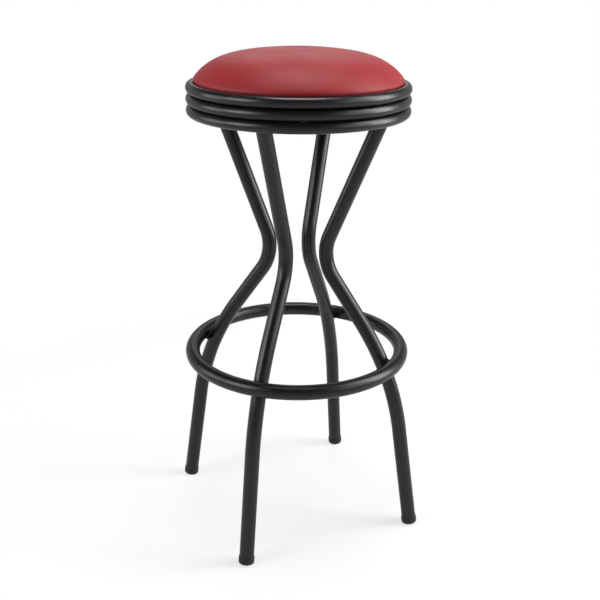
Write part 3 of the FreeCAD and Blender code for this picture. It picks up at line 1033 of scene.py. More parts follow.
@dataclass
class LegFrame:
    """Four bent tube legs with tips, the foot ring and the cross plate."""

    stock: Stock
    tube_radius: float = 0.0111
    foot_radius: float = 0.1997
    knee: tuple[float, float] = (0.1606, 0.2591)
    knee_bend: float = 0.3976
    waist: tuple[float, float] = (0.0375, 0.4339)
    waist_bend: float = 0.0687
    top: tuple[float, float] = (0.1265, 0.648)
    tip_radius: float = 0.012
    tip_height: float = 0.013
    tip_floor: float = 0.0045
    tip_dome: float = 0.022
    tip_rim: float = 0.0007
    tip_blend: float = 0.0022
    tip_blend_from: float = 30.0
    tip_blend_rise: float = 0.95
    tip_steps: tuple[int, int, int] = (9, 6, 5)
    tip_flat: float = 0.0008
    tip_fit: float = 0.0001
    weld_reach: float = 0.0074
    weld_gap: float = 0.0001
    ring_bead: Bead = Bead(0.0021, 0.0012, 0.62, 3)
    ring_bead_steps: int = 48
    top_bead: Bead = Bead(0.0019, 0.0011, 0.62, 5)
    top_bead_lift: float = 0.0004
    top_bead_steps: int = 56
    sides: int = 72

    def corner_arc(self, before: Vector, corner: Vector, after: Vector, radius: float) -> list[Vector]:
        """Points on the arc that rounds a corner of the leg's centreline.

        Args:
            before: The corner before it.
            corner: The corner that is rounded.
            after: The corner after it.
            radius: The arc's radius.

        Returns:
            The arc's points.
        """
        inward = (before - corner).normalized()
        outward = (after - corner).normalized()
        half = inward.angle(outward) / 2
        tangent = radius / math.tan(half)
        centre = corner + (inward + outward).normalized() * (radius / math.sin(half))
        return arc_points(centre, corner + inward * tangent, corner + outward * tangent, ARC_STEPS)

    def line_corners(self) -> list[Vector]:
        """The corners of the leg's centreline, on the +X side."""
        return [Vector((self.foot_radius, 0, 0)), Vector((self.knee[0], 0, self.knee[1])),
                Vector((self.waist[0], 0, self.waist[1])), Vector((self.top[0], 0, self.top[1]))]

    def axis_down(self) -> Vector:
        """The direction of the leg's lower run, from foot to knee."""
        foot, knee = self.line_corners()[:2]
        return (knee - foot).normalized()

    def tip_start(self) -> Vector:
        """Where the tip's dome would end below the floor."""
        rise = (self.tip_dome - self.tip_flat) / self.axis_down().z - self.tip_dome
        return self.line_corners()[0] + self.axis_down() * rise

    def centreline(self) -> list[Vector]:
        """The leg's centreline from inside its tip to the cross plate.

        Returns:
            Points in the XZ plane.
        """
        foot, knee, waist, top = self.line_corners()
        start = self.tip_start() + self.axis_down() * self.tip_floor
        knee_arc = self.corner_arc(foot, knee, waist, self.knee_bend)
        waist_arc = self.corner_arc(knee, waist, top, self.waist_bend)
        beyond = top + (top - waist).normalized() * self.tube_radius
        return [start, *knee_arc, *waist_arc, beyond]

    def make_leg(self, corner: Corner) -> None:
        """Sweep one leg and cut its top level under the cross plate.

        Args:
            corner: Where the leg stands.
        """
        path = [tuple(point) for point in self.centreline()]
        guide = MeshKit.paths("leg_tube_" + corner.node_end, [path], False)
        leg = self.stock.tube.shape(guide, Radius=self.tube_radius, Sides=self.sides,
                                    Finish=self.stock.finishes.coat)
        work = bmesh.new()
        work.from_mesh(leg.data)
        everything = work.verts[:] + work.edges[:] + work.faces[:]
        cut = bmesh.ops.bisect_plane(work, geom=everything, plane_co=(0, 0, self.top[1]), plane_no=(0, 0, 1),
                                     clear_outer=True)
        rim = [item for item in cut["geom_cut"] if isinstance(item, bmesh.types.BMEdge)]
        bmesh.ops.edgeloop_fill(work, edges=rim)
        bmesh.ops.recalc_face_normals(work, faces=work.faces)
        work.to_mesh(leg.data)
        work.free()
        MeshKit.place(leg, corner.turn)
        keep(leg, Body.BASE, "leg_" + corner.node_end)

    def tip_outline(self) -> Outline:
        """Radius and height of a tip's outline, from its dome's end round to its socket.

        Returns:
            The outline's points.
        """
        points = [(0.0, 0.0)]
        dome_steps, blend_steps, rim_steps = self.tip_steps
        blend, blend_from = self.tip_blend, self.tip_blend_from
        meet = self.tip_radius - blend
        swing = math.asin(meet / self.tip_dome)
        for step in range(1, dome_steps):
            angle = swing * step / dome_steps
            points.append((self.tip_dome * math.sin(angle), self.tip_dome * (1 - math.cos(angle))))
        shoulder = self.tip_dome * (1 - math.cos(swing))
        for step in range(blend_steps + 1):
            angle = math.radians(blend_from + (RIGHT_ANGLE - blend_from) * step / blend_steps)
            points.append((meet + blend * math.sin(angle),
                           shoulder + blend * (self.tip_blend_rise - math.cos(angle))))
        for step in range(rim_steps + 1):
            angle = math.radians(RIGHT_ANGLE * step / rim_steps)
            points.append((self.tip_radius - self.tip_rim * (1 - math.cos(angle)),
                           self.tip_height - self.tip_rim * (1 - math.sin(angle))))
        inner = self.tube_radius + self.tip_fit
        points += [(inner, self.tip_height), (inner, self.tip_floor), (0.0, self.tip_floor)]
        return points

    def make_tip(self, corner: Corner) -> None:
        """Turn one foot tip, tilt it with its leg and flatten it on the floor.

        Args:
            corner: Where the tip stands.
        """
        tip = MeshKit.lathe("foot_tip_cap_" + corner.node_end, self.tip_outline(), self.sides, False)
        tilt = Vector((0, 0, 1)).rotation_difference(self.axis_down()).to_matrix().to_4x4()
        MeshKit.place(tip, corner.turn @ Matrix.Translation(self.tip_start()) @ tilt)
        for vertex in tip.data.vertices:
            vertex.co.z = max(vertex.co.z, 0.0)
        dress(tip, self.stock.finishes.tip)
        keep(tip, Body.BASE, "foot_tip_" + corner.node_end)

    def make_foot_ring(self) -> None:
        """Sweep the foot ring where its CAD node is."""
        self.stock.ring("foot_ring_tube", "foot_ring", Body.BASE, self.sides)

    def ring_contact(self) -> tuple[Vector, Vector]:
        """Where a leg touches the foot ring, and the direction from the leg to the ring.

        Returns:
            The spot and the direction, on the +X side.
        """
        radius, tube, height = ring_sizes("foot_ring")
        ring = Vector((radius, 0, height))
        nearest = min(self.centreline(), key=lambda point: (point - ring).length)
        toward = (ring - nearest).normalized()
        return ring - toward * (tube + self.weld_gap), toward

    def make_ring_welds(self) -> None:
        """Lay a round of ripples in the crease where each leg meets the foot ring."""
        contact, toward = self.ring_contact()
        level = Vector((0, 1, 0))
        rise = toward.cross(level)
        spots = [contact + (level * math.cos(angle) + rise * math.sin(angle)) * self.weld_reach
                 for angle in round_angles(self.ring_bead_steps)]
        runs = [[tuple(corner.turn @ spot) for spot in spots] for corner in Corner]
        welds = self.stock.welded("foot_ring_weld_beads", runs, True, self.ring_bead)
        keep(welds, Body.BASE, "foot_ring_welds")

    def make_top_welds(self) -> None:
        """Lay ripples round each leg's top, under the cross plate."""
        _, _, waist, top = self.line_corners()
        slope = (top - waist).normalized()
        lower = self.top_bead.radius / 2
        centre = top - slope * (lower / slope.z)
        reach = self.tube_radius + self.top_bead_lift
        spots = [centre + Vector((math.cos(angle) * reach / slope.z, math.sin(angle) * reach, 0))
                 for angle in round_angles(self.top_bead_steps)]
        runs = [[tuple(corner.turn @ spot) for spot in spots] for corner in Corner]
        welds = self.stock.welded("leg_top_weld_beads", runs, True, self.top_bead)
        for vertex in welds.data.vertices:
            vertex.co.z = min(vertex.co.z, self.top[1])
        keep(welds, Body.BASE, "leg_top_welds")

    def build(self, nodes: dict[str, bpy.types.Object]) -> None:
        """Make the whole base frame.

        Args:
            nodes: The CAD objects by node.
        """
        for corner in Corner:
            self.make_leg(corner)
            self.make_tip(corner)
        self.make_foot_ring()
        self.make_ring_welds()
        self.make_top_welds()
        dress(nodes["leg_cross_plate"], self.stock.finishes.coat)


class Recess(Enum):
    """What is sunk into a fastener's head for the driver."""

    HEXAGON = "hexagon"
    CROSS = "cross"


@dataclass(frozen=True)
class Head:
    """A domed head: its size, the shares of its height that are rounded and sunk, and its recess."""

    radius: float
    height: float
    rounded: float
    sunk: float
    recess: Recess


@dataclass(frozen=True)
class Thread:
    """A helical groove: where it starts, the height of one turn, and its depth."""

    start: float
    pitch: float
    depth: float


@dataclass(frozen=True)
class ShankEnd:
    """How a shank ends: the length of its taper and the width left, as shares of its radius."""

    taper: float
    width: float


def four_places(spread: float, height: float) -> list[Point]:
    """The corners of a level square round the axis."""
    return [(x, y, height) for x in (-spread, spread) for y in (-spread, spread)]


@dataclass
class Fasteners:
    """Bolts, nuts, washers and wood screws, made once each and copied by a node tree."""

    stock: Stock
    bolt_radius: float = 0.003
    bolt_head: Head = Head(0.00525, 0.0033, 0.62, 0.5, Recess.HEXAGON)
    bolt_thread: Thread = Thread(0.002, 0.001, 0.0005)
    bolt_end: ShankEnd = ShankEnd(0.4, 0.75)
    bolt_turns: tuple[float, ...] = (0.3, 1.1, 2.0, 2.9)
    socket_flats: float = 0.004
    nut_flats: float = 0.010
    nut_height: float = 0.005
    nut_fit: float = 0.00005
    nut_sides: int = 72
    nut_turns: tuple[float, ...] = (0.0, 0.2, 0.5, 0.8)
    washer: tuple[float, float] = (0.006, 0.0016)
    washer_fit: float = 0.0003
    washer_edge: float = 0.0003
    washer_rounding: float = 0.3
    washer_burr: float = 0.0001
    washer_sides: int = 64
    screw_radius: float = 0.002
    screw_head: Head = Head(0.004, 0.0026, 0.6, 0.5, Recess.CROSS)
    screw_thread: Thread = Thread(0.001, 0.0013, 0.0004)
    screw_point: ShankEnd = ShankEnd(2.0, 0.1)
    screw_length: float = 0.012
    plate_screw_turns: tuple[float, ...] = (0.1, 0.8, 1.9, 1.2)
    bracket_screw_turns: tuple[float, ...] = (0.4, 1.3, 0.9, 2.2)
    cross_arm: float = 0.55
    cross_width: float = 0.14
    recess_slope: float = 0.07
    head_rings: int = 22
    shank_steps: int = 64
    chamfer_steps: int = 6
    sides: int = 48

    def threaded(self, outline: Outline, end: float, thread: Thread) -> bpy.types.Object:
        """Turn a shank's outline and press a helical thread into it.

        Args:
            outline: Radius and height of the points, finely spaced where the thread runs.
            end: Height at which the thread ends.
            thread: The thread.

        Returns:
            The threaded shank.
        """
        made = MeshKit.lathe("shank", outline, self.sides, False)
        for vertex in made.data.vertices:
            place = vertex.co
            if thread.start < place.z < end and place.xy.length > ON_AXIS:
                phase = (place.z / thread.pitch - math.atan2(place.y, place.x) / (2 * math.pi)) % 1.0
                groove = 1 - abs(2 * phase - 1)
                scale = 1 - thread.depth * groove / place.xy.length
                place.x *= scale
                place.y *= scale
        return made

    def depth_inside(self, head: Head, reach: float, angle: float) -> float:
        """How far a spot on a head lies inside the rim of the recess, or outside where negative.

        Args:
            head: The head.
            reach: The spot's distance from the head's axis.
            angle: The spot's direction from the axis.

        Returns:
            The distance in metres.
        """
        if head.recess is Recess.HEXAGON:
            return self.socket_flats / 2 - reach * math.cos(hexagon_angle(angle))
        x, y = abs(reach * math.cos(angle)), abs(reach * math.sin(angle))
        arm, wide = head.radius * self.cross_arm, head.radius * self.cross_width
        return max(min(arm - x, wide - y), min(arm - y, wide - x))

    def head_points(self, head: Head) -> list[Point]:
        """Rings of points over a head with its recess, from its centre to its rim.

        Args:
            head: The head.

        Returns:
            The points, ring by ring, each ring with as many points as the sides.
        """
        points: list[Point] = []
        for ring in range(self.head_rings + 1):
            share = ring / self.head_rings
            reach = head.radius * share
            drop = head.height * head.rounded * (1 - math.sqrt(max(0.0, 1 - share ** 3)))
            for angle in round_angles(self.sides):
                inside = self.depth_inside(head, reach, angle)
                slope = inside / (head.radius * self.recess_slope) + 0.5
                sink = head.height * head.sunk * min(1.0, max(0.0, slope))
                points.append((reach * math.cos(angle), reach * math.sin(angle), head.height - drop - sink))
        return points

    def headed(self, name: str, head: Head) -> bpy.types.Object:
        """Make a closed fastener head that stands on z = 0, with its recess upwards.

        Args:
            name: Name of the object.
            head: The head.

        Returns:
            The head as an object.
        """
        points = self.head_points(head)
        points += [(x, y, 0.0) for x, y, _ in points[-self.sides:]]
        rows = len(points) // self.sides
        faces: list[Face] = []
        for row in range(rows - 1):
            for step in range(self.sides):
                after = (step + 1) % self.sides
                low, high = row * self.sides, (row + 1) * self.sides
                faces.append((low + step, high + step, high + after, low + after))
        faces.append(tuple(range((rows - 1) * self.sides, rows * self.sides)))
        made = MeshKit.piece(name, points, faces)
        MeshKit.face_outwards(made)
        return made

    def shank(self, radius: float, length: float, end: ShankEnd) -> Outline:
        """The outline of a shank from z = 0 up to its chamfered or pointed end.

        Args:
            radius: The shank's radius.
            length: Its length.
            end: How it ends.

        Returns:
            The outline's points.
        """
        outline = [(0.0, 0.0)]
        for step in range(self.shank_steps + 1):
            height = length * step / self.shank_steps
            narrow = end.width + (1.0 - end.width) * min(1.0, (length - height) / (end.taper * radius))
            outline.append((radius * narrow, height))
        outline.append((0.0, length))
        return outline

    def bolt_spread(self) -> float:
        """How far the bolts stand from the axis, along X and along Y."""
        _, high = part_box("swivel_bolts")
        return high[0] - self.bolt_head.radius

    def make_bolts(self) -> None:
        """Make the swivel's button-head bolts with their threads."""
        low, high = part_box("swivel_bolts")
        length = high[2] - low[2] - self.bolt_head.height
        head = self.headed("swivel_bolt_set", self.bolt_head)
        outline = self.shank(self.bolt_radius, length, self.bolt_end)
        shank = self.threaded(outline, length, self.bolt_thread)
        MeshKit.place(shank, Matrix.Rotation(math.pi, 4, "X"))
        bolt = MeshKit.joined("swivel_bolt_set", [head, shank])
        places = four_places(self.bolt_spread(), high[2] - self.bolt_head.height)
        bolts = self.stock.copied(bolt, places, self.bolt_turns, self.stock.finishes.fastener)
        keep(bolts, Body.BASE, "swivel_bolts")

    def make_nuts(self) -> None:
        """Make the nuts under the cross plate, chamfered and faced."""
        low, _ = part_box("swivel_nuts")
        nut = MeshKit.lathe("swivel_nut_set", self.nut_outline(), self.nut_sides, True)
        for vertex in nut.data.vertices:
            flat = self.nut_flats / 2 / math.cos(hexagon_angle(math.atan2(vertex.co.y, vertex.co.x)))
            reach = vertex.co.xy.length
            if reach > flat:
                vertex.co.x *= flat / reach
                vertex.co.y *= flat / reach
        places = four_places(self.bolt_spread(), low[2])
        nuts = self.stock.copied(nut, places, self.nut_turns, self.stock.finishes.fastener)
        keep(nuts, Body.BASE, "swivel_nuts")

    def nut_outline(self) -> Outline:
        """The outline of a nut before its flats are pressed in.

        Returns:
            The outline's points.
        """
        corner = self.nut_flats / math.sqrt(3)
        bore = self.bolt_radius + self.nut_fit
        chamfer = corner - self.nut_flats / 2
        height = self.nut_height
        shares = [step / self.chamfer_steps for step in range(self.chamfer_steps + 1)]
        outline = [(bore, 0.0), (self.nut_flats / 2, 0.0)]
        outline += [(corner - chamfer * (1 - share), 0.5 * chamfer * share) for share in shares[1:]]
        outline += [(corner, height * 0.5)]
        outline += [(corner - chamfer * share, height - 0.5 * chamfer * (1 - share)) for share in shares]
        outline.append((bore, height))
        return outline

    def make_washers(self) -> None:
        """Make the punched washers with one rolled edge."""
        low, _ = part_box("swivel_washers")
        radius, height = self.washer
        bore = self.bolt_radius + self.washer_fit
        edge, burr = self.washer_edge, self.washer_burr
        round_in = edge * self.washer_rounding
        outline = [(bore, 0.0), (radius - edge, 0.0), (radius - round_in, round_in), (radius, edge),
                   (radius, height - burr), (radius - burr, height), (bore, height)]
        washer = MeshKit.lathe("swivel_washer_set", outline, self.washer_sides, True)
        places = four_places(self.bolt_spread(), low[2])
        washers = self.stock.copied(washer, places, [0.0] * 4, self.stock.finishes.fastener)
        keep(washers, Body.BASE, "swivel_washers")

    def wood_screw(self, name: str) -> bpy.types.Object:
        """One pan-head wood screw whose head hangs under z = 0 and whose point is up.

        Args:
            name: Name of the screw.

        Returns:
            The screw.
        """
        head = self.headed(name, self.screw_head)
        MeshKit.place(head, Matrix.Rotation(math.pi, 4, "X"))
        outline = self.shank(self.screw_radius, self.screw_length, self.screw_point)
        return MeshKit.joined(name, [head, self.threaded(outline, self.screw_length, self.screw_thread)])

    def make_screws(self, name: str, node: str, turns: Sequence[float]) -> None:
        """Make the wood screws of one CAD node.

        Args:
            name: Name of the piece.
            node: The CAD node.
            turns: How far each screw ended up turned, in radians.
        """
        _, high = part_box(node)
        places = four_places(high[0] - self.screw_head.radius, high[2] - self.screw_length)
        screws = self.stock.copied(self.wood_screw(name), places, turns, self.stock.finishes.fastener)
        keep(screws, Body.SEAT, node)

    def build(self) -> None:
        """Make every fastener."""
        self.make_bolts()
        self.make_nuts()
        self.make_washers()
        self.make_screws("plate_screw_set", "swivel_plate_screws", self.plate_screw_turns)
        self.make_screws("bracket_screw_set", "ring_bracket_screws", self.bracket_screw_turns)


@dataclass
class Swivel:
    """The two pressed plates, the rivet, and the balls in their cage."""

    stock: Stock
    ball_count: int = 16
    ball_rows: int = 24
    ball_sides: int = 32

    def make_balls(self) -> None:
        """Make the ring of balls."""
        low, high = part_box("swivel_balls")
        radius = (high[2] - low[2]) / 2
        height = (high[2] + low[2]) / 2
        circle = high[0] - radius
        swings = [math.pi * step / self.ball_rows for step in range(1, self.ball_rows)]
        side = [(radius * math.sin(swing), -radius * math.cos(swing)) for swing in swings]
        outline = [(0.0, -radius), *side, (0.0, radius)]
        ball = MeshKit.lathe("swivel_ball_set", outline, self.ball_sides, False)
        turns = round_angles(self.ball_count)
        places = [(circle * math.cos(turn), circle * math.sin(turn), height) for turn in turns]
        balls = self.stock.copied(ball, places, turns, self.stock.finishes.steel)
        keep(balls, Body.BALL_RING, "swivel_balls")

    def build(self, nodes: dict[str, bpy.types.Object]) -> None:
        """Make the balls and dress the plates, the rivet and the cage.

        Args:
            nodes: The CAD objects by node.
        """
        self.make_balls()
        finishes = self.stock.finishes
        dress(nodes["swivel_lower_plate"], finishes.plate)
        dress(nodes["swivel_upper_plate"], finishes.plate)
        dress(nodes["swivel_pin"], finishes.fastener)
        dress(nodes["swivel_ball_cage"], finishes.nylon)


@dataclass
class Drum:
    """The three stacked rings with the brackets that join them."""

    stock: Stock
    bracket_half_width: float = 0.011
    strap_radius: float = 0.147
    bead: Bead = Bead(0.0019, 0.0011, 0.6, 9)
    bead_half_length: float = 0.001
    bead_lift: float = 0.0004
    bead_gap: float = 0.0008
    sides: int = 56

    def make_welds(self) -> None:
        """Lay short upright beads where the straps meet the rings."""
        reach = math.sqrt(self.strap_radius ** 2 - self.bracket_half_width ** 2)
        runs = []
        for ring in ("top", "middle", "bottom"):
            _, _, height = ring_sizes("seat_ring_" + ring)
            for corner in Corner:
                for side in (-1, 1):
                    across = side * (self.bracket_half_width + self.bead_gap)
                    ends = [Vector((reach + self.bead_lift, across, height + self.bead_half_length * share))
                            for share in (-1, 0, 1)]
                    runs.append([tuple(corner.turn @ point) for point in ends])
        welds = self.stock.welded("ring_bracket_weld_beads", runs, False, self.bead)
        keep(welds, Body.SEAT, "ring_bracket_welds")

    def build(self, nodes: dict[str, bpy.types.Object]) -> None:
        """Make the rings and welds and dress the brackets.

        Args:
            nodes: The CAD objects by node.
        """
        for ring in ("top", "middle", "bottom"):
            self.stock.ring(f"seat_ring_{ring}_tube", "seat_ring_" + ring, Body.SEAT, self.sides)
        self.make_welds()
        for corner in Corner:
            dress(nodes["ring_bracket_" + corner.node_end], self.stock.finishes.coat)


@dataclass
class Cushion:
    """The padded seat: foam, a stretched cover, its hem and its staples."""

    stock: Stock
    cover_thickness: float = 0.0012
    cover_fit: float = 0.0003
    ring_clearance: float = 0.00035
    overlap: float = 0.0033
    roll_radius: float = 0.005
    shoulder_radius: float = 0.096
    crown_radius: float = 0.580
    turn_rise: float = 0.0024
    bottom_fold: float = 0.003
    hem_width: float = 0.0166
    crown_steps: int = 80
    shoulder_steps: int = 60
    roll_steps: int = 16
    hem_steps: int = 8
    grid: int = 96
    swell_start: float = 0.003
    swell_cap: float = 0.006
    swell_kept: float = 0.6
    swell_pressure: float = 4.0
    swell_stiffness: float = 25.0
    swell_frames: int = 20
    swell_quality: int = 6
    pleats: int = 84
    pleat_stray: float = 0.3
    pleat_shallowest: float = 0.45
    pleat_depth: float = 0.0011
    pleat_sharpness: float = 1.5
    pleat_reach: float = 0.006
    pleat_seed: int = 11
    tab_half_width: float = 0.0125
    ease: float = 0.004
    foam_gap: float = 0.0006
    foam_lift: float = 0.0002
    foam_foot: float = 0.001
    foam_sides: int = 128
    staple_margin: float = 0.0075
    staple_crown: float = 0.010
    staple_wire: tuple[float, float] = (0.0012, 0.0006)
    staple_leg: float = 0.008
    staple_bend_angles: tuple[float, ...] = (30.0, 60.0)
    staple_play: float = 0.12
    staples_per_quarter: int = 10
    staple_first_angle: float = 9.0

    def __post_init__(self) -> None:
        """Take the places of the ring, the board and the crown from the frame."""
        self.ring_radius, self.ring_tube, self.ring_height = ring_sizes("seat_ring_top")
        low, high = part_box("seat_cover")
        self.crown_height = high[2]
        self.hem_height = low[2]
        board_low, board_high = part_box("seat_board")
        self.board_top = board_high[2]
        self.board_radius = (board_high[0] - board_low[0]) / 2
        self.side_radius = self.board_radius + self.cover_thickness + self.cover_fit
        self.staple_radius = self.board_radius - self.hem_width + self.staple_margin

    def outline(self, inset: float) -> list[Vector]:
        """The cushion's outline from its crown over the shoulder and down inside the ring to the hem.

        Args:
            inset: How far inside the cover's outer face the outline runs.

        Returns:
            Points in the XZ plane, evenly spaced.
        """
        ring = Vector((self.ring_radius, 0, self.ring_height))
        fold = self.ring_tube + self.ring_clearance + inset
        roll_x = self.ring_radius - self.overlap - self.roll_radius
        reach = self.ring_tube + self.ring_clearance + self.roll_radius
        roll_rise = math.sqrt(reach ** 2 - (self.ring_radius - roll_x) ** 2)
        roll = Vector((roll_x, 0, self.ring_height + roll_rise))
        crown = Vector((0, 0, self.crown_height - self.crown_radius))
        span = roll - crown
        far, near = self.crown_radius - self.shoulder_radius, self.shoulder_radius - self.roll_radius
        along = (far ** 2 - near ** 2 + span.length ** 2) / (2 * span.length)
        across = math.sqrt(far ** 2 - along ** 2)
        unit = span.normalized()
        shoulder = crown + unit * along + Vector((-unit.z, 0, unit.x)) * across
        crown_end = crown + (shoulder - crown).normalized() * (self.crown_radius - inset)
        shoulder_end = shoulder + (roll - shoulder).normalized() * (self.shoulder_radius - inset)
        roll_end = ring + (roll - ring).normalized() * fold
        turn = Vector((self.side_radius - inset, 0, self.ring_height + self.turn_rise))
        toward = turn - ring
        swing = math.acos(fold / toward.length)
        fold_angle = math.atan2(toward.z, toward.x) - swing
        fold_end = ring + Vector((math.cos(fold_angle), 0, math.sin(fold_angle))) * fold
        low = Vector((self.side_radius - self.bottom_fold, 0, self.hem_height + self.bottom_fold))
        hem_radius = self.bottom_fold - inset
        rough = [Vector((0, 0, self.crown_height - inset))]
        rough += arc_points(crown, rough[0], crown_end, self.crown_steps)[1:]
        rough += arc_points(shoulder, crown_end, shoulder_end, self.shoulder_steps)[1:]
        rough += arc_points(roll, shoulder_end, roll_end, self.roll_steps)[1:]
        rough += arc_points(ring, roll_end, fold_end, self.roll_steps)[1:]
        rough.append(turn)
        rough += arc_points(low, low + Vector((hem_radius, 0, 0)), low - Vector((0, 0, hem_radius)),
                            self.hem_steps)
        rough.append(Vector((self.board_radius - self.hem_width, 0, self.hem_height + inset)))
        return rough

    def at_share(self, outline: list[Vector], lengths: list[float], share: float) -> Vector:
        """The point at a share of an outline's length.

        Args:
            outline: The outline's points.
            lengths: The length up to each point.
            share: The share, from 0 to 1.

        Returns:
            The point.
        """
        goal = lengths[-1] * share
        for index in range(1, len(lengths)):
            if lengths[index] >= goal:
                part = (goal - lengths[index - 1]) / max(lengths[index] - lengths[index - 1], SHORTEST_STEP)
                return outline[index - 1].lerp(outline[index], part)
        return outline[-1]

    def sheet(self, name: str) -> bpy.types.Object:
        """An open sheet of nearly square faces, with no pole, spread over the cushion's outline.

        Args:
            name: Name of the sheet.

        Returns:
            The sheet.
        """
        outline = self.outline(0.0)
        lengths = [0.0]
        for before, after in zip(outline, outline[1:]):
            lengths.append(lengths[-1] + (after - before).length)
        points: list[Point] = []
        count = self.grid + 1
        for row in range(count):
            for column in range(count):
                u = 2 * column / self.grid - 1
                v = 2 * row / self.grid - 1
                x = u * math.sqrt(1 - v * v / 2)
                y = v * math.sqrt(1 - u * u / 2)
                angle = math.atan2(y, x)
                spot = self.at_share(outline, lengths, min(1.0, math.hypot(x, y)))
                points.append((spot.x * math.cos(angle), spot.x * math.sin(angle), spot.z))
        faces = [(row * count + column, row * count + column + 1, (row + 1) * count + column + 1,
                  (row + 1) * count + column) for row in range(self.grid) for column in range(self.grid)]
        return MeshKit.piece(name, points, faces)

    def swell(self, cover: bpy.types.Object) -> None:
        """Blow the cover up with a cloth simulation, held where it is tucked in, and keep part of it.

        Args:
            cover: The sheet.
        """
        start = [vertex.co.copy() for vertex in cover.data.vertices]
        held = cover.vertex_groups.new(name="held")
        for vertex in cover.data.vertices:
            slack = (vertex.co.z - self.ring_height) / (self.ring_tube * 2)
            held.add([vertex.index], min(1.0, max(0.0, 1.0 - slack)), "REPLACE")
        cloth = cover.modifiers.new("swell", "CLOTH")
        cloth.settings.vertex_group_mass = held.name
        cloth.settings.use_pressure = True
        cloth.settings.uniform_pressure_force = self.swell_pressure
        cloth.settings.quality = self.swell_quality
        cloth.settings.tension_stiffness = self.swell_stiffness
        cloth.settings.compression_stiffness = self.swell_stiffness
        cloth.settings.effector_weights.gravity = 0.0
        cloth.collision_settings.use_collision = False
        cloth.point_cache.frame_start = 1
        cloth.point_cache.frame_end = self.swell_frames
        scene = bpy.context.scene
        for frame in range(1, self.swell_frames + 1):
            scene.frame_set(frame)
        MeshKit.apply_all(cover)
        scene.frame_set(1)
        cover.vertex_groups.clear()
        for vertex, before in zip(cover.data.vertices, start):
            move = vertex.co - before
            if move.length > self.swell_cap:
                move *= self.swell_cap / move.length
            vertex.co = before + move

    def settle(self, cover: bpy.types.Object, goals: list[Vector]) -> None:
        """Bring the swollen cover to its true height, and keep the folds that the pressure made.

        Args:
            cover: The swollen sheet.
            goals: The true place of each vertex.
        """
        moves = [vertex.co - goal for vertex, goal in zip(cover.data.vertices, goals)]
        above = self.ring_height + 2 * self.ring_tube
        crown = [move.z for move, goal in zip(moves, goals) if goal.z > above]
        mean = Vector((0, 0, sum(crown) / len(crown)))
        for vertex, goal, move in zip(cover.data.vertices, goals, moves):
            free = (goal.z - self.ring_height - self.ring_tube) / (2 * self.ring_tube)
            vertex.co = goal + (move - mean) * self.swell_kept * min(1.0, max(0.0, free))

    def pleat(self, cover: bpy.types.Object) -> None:
        """Gather the hem in uneven pleats, flat under the bracket tabs and pinched at the staples.

        Args:
            cover: The sheet.
        """
        chance = random.Random(self.pleat_seed)
        full = 2 * math.pi
        angles = sorted(full * (step + chance.uniform(-self.pleat_stray, self.pleat_stray)) / self.pleats
                        for step in range(self.pleats))
        depths = [chance.uniform(self.pleat_shallowest, 1.0) for _ in angles]
        tabs = [math.radians(corner.value) for corner in Corner]
        inner = self.board_radius - self.hem_width

        def apart(first: float, second: float) -> float:
            """The angle between two directions."""
            return abs((first - second + math.pi) % full - math.pi)

        def limited(share: float) -> float:
            """A share kept between 0 and 1."""
            return min(1.0, max(0.0, share))

        for vertex in cover.data.vertices:
            place = vertex.co
            if place.z > self.hem_height + self.pleat_reach:
                continue
            reach = place.xy.length
            turn = math.atan2(place.y, place.x) % full
            away, depth = min((apart(turn, angle), depth) for angle, depth in zip(angles, depths))
            fold = max(0.0, 1 - away * self.pleats / math.pi * self.pleat_sharpness) * depth
            near_tab = min(apart(turn, tab) for tab in tabs)
            free = limited((near_tab * reach - self.tab_half_width) / self.ease)
            inward = limited((self.side_radius + self.ease / 2 - reach) / (self.side_radius - inner))
            pinched = limited(abs(reach - self.staple_radius) / self.ease)
            place.z -= self.pleat_depth * fold * inward * free * pinched

    def make_cover(self) -> None:
        """Make the vinyl cover as one stretched shell with its hem."""
        cover = self.sheet("seat_cover_vinyl")
        goals = [vertex.co.copy() for vertex in cover.data.vertices]
        base = self.ring_height + self.ring_tube
        for vertex in cover.data.vertices:
            if vertex.co.z > base:
                vertex.co.z -= self.swell_start * (vertex.co.z - base) / (self.crown_height - base)
        self.swell(cover)
        self.settle(cover, goals)
        finer = cover.modifiers.new("finer", "SUBSURF")
        finer.levels = 1
        finer.render_levels = 1
        MeshKit.apply_all(cover)
        self.pleat(cover)
        wall = cover.modifiers.new("wall", "SOLIDIFY")
        wall.thickness = self.cover_thickness
        wall.offset = -1.0
        wall.use_even_offset = False
        MeshKit.apply_all(cover)
        for polygon in cover.data.polygons:
            polygon.use_smooth = True
        dress(cover, self.stock.finishes.vinyl)
        keep(cover, Body.SEAT, "seat_cover")

    def make_foam(self) -> None:
        """Make the foam block under the cover."""
        base = self.board_top + self.foam_lift
        outline = [(point.x, point.z) for point in self.outline(self.cover_thickness + self.foam_gap)
                   if point.z > self.board_top + self.foam_foot]
        outline[0] = (0.0, outline[0][1])
        outline += [(outline[-1][0], base), (0.0, base)]
        foam = MeshKit.lathe("seat_foam_block", outline, self.foam_sides, False)
        dress(foam, self.stock.finishes.foam)
        keep(foam, Body.SEAT, "seat_foam")

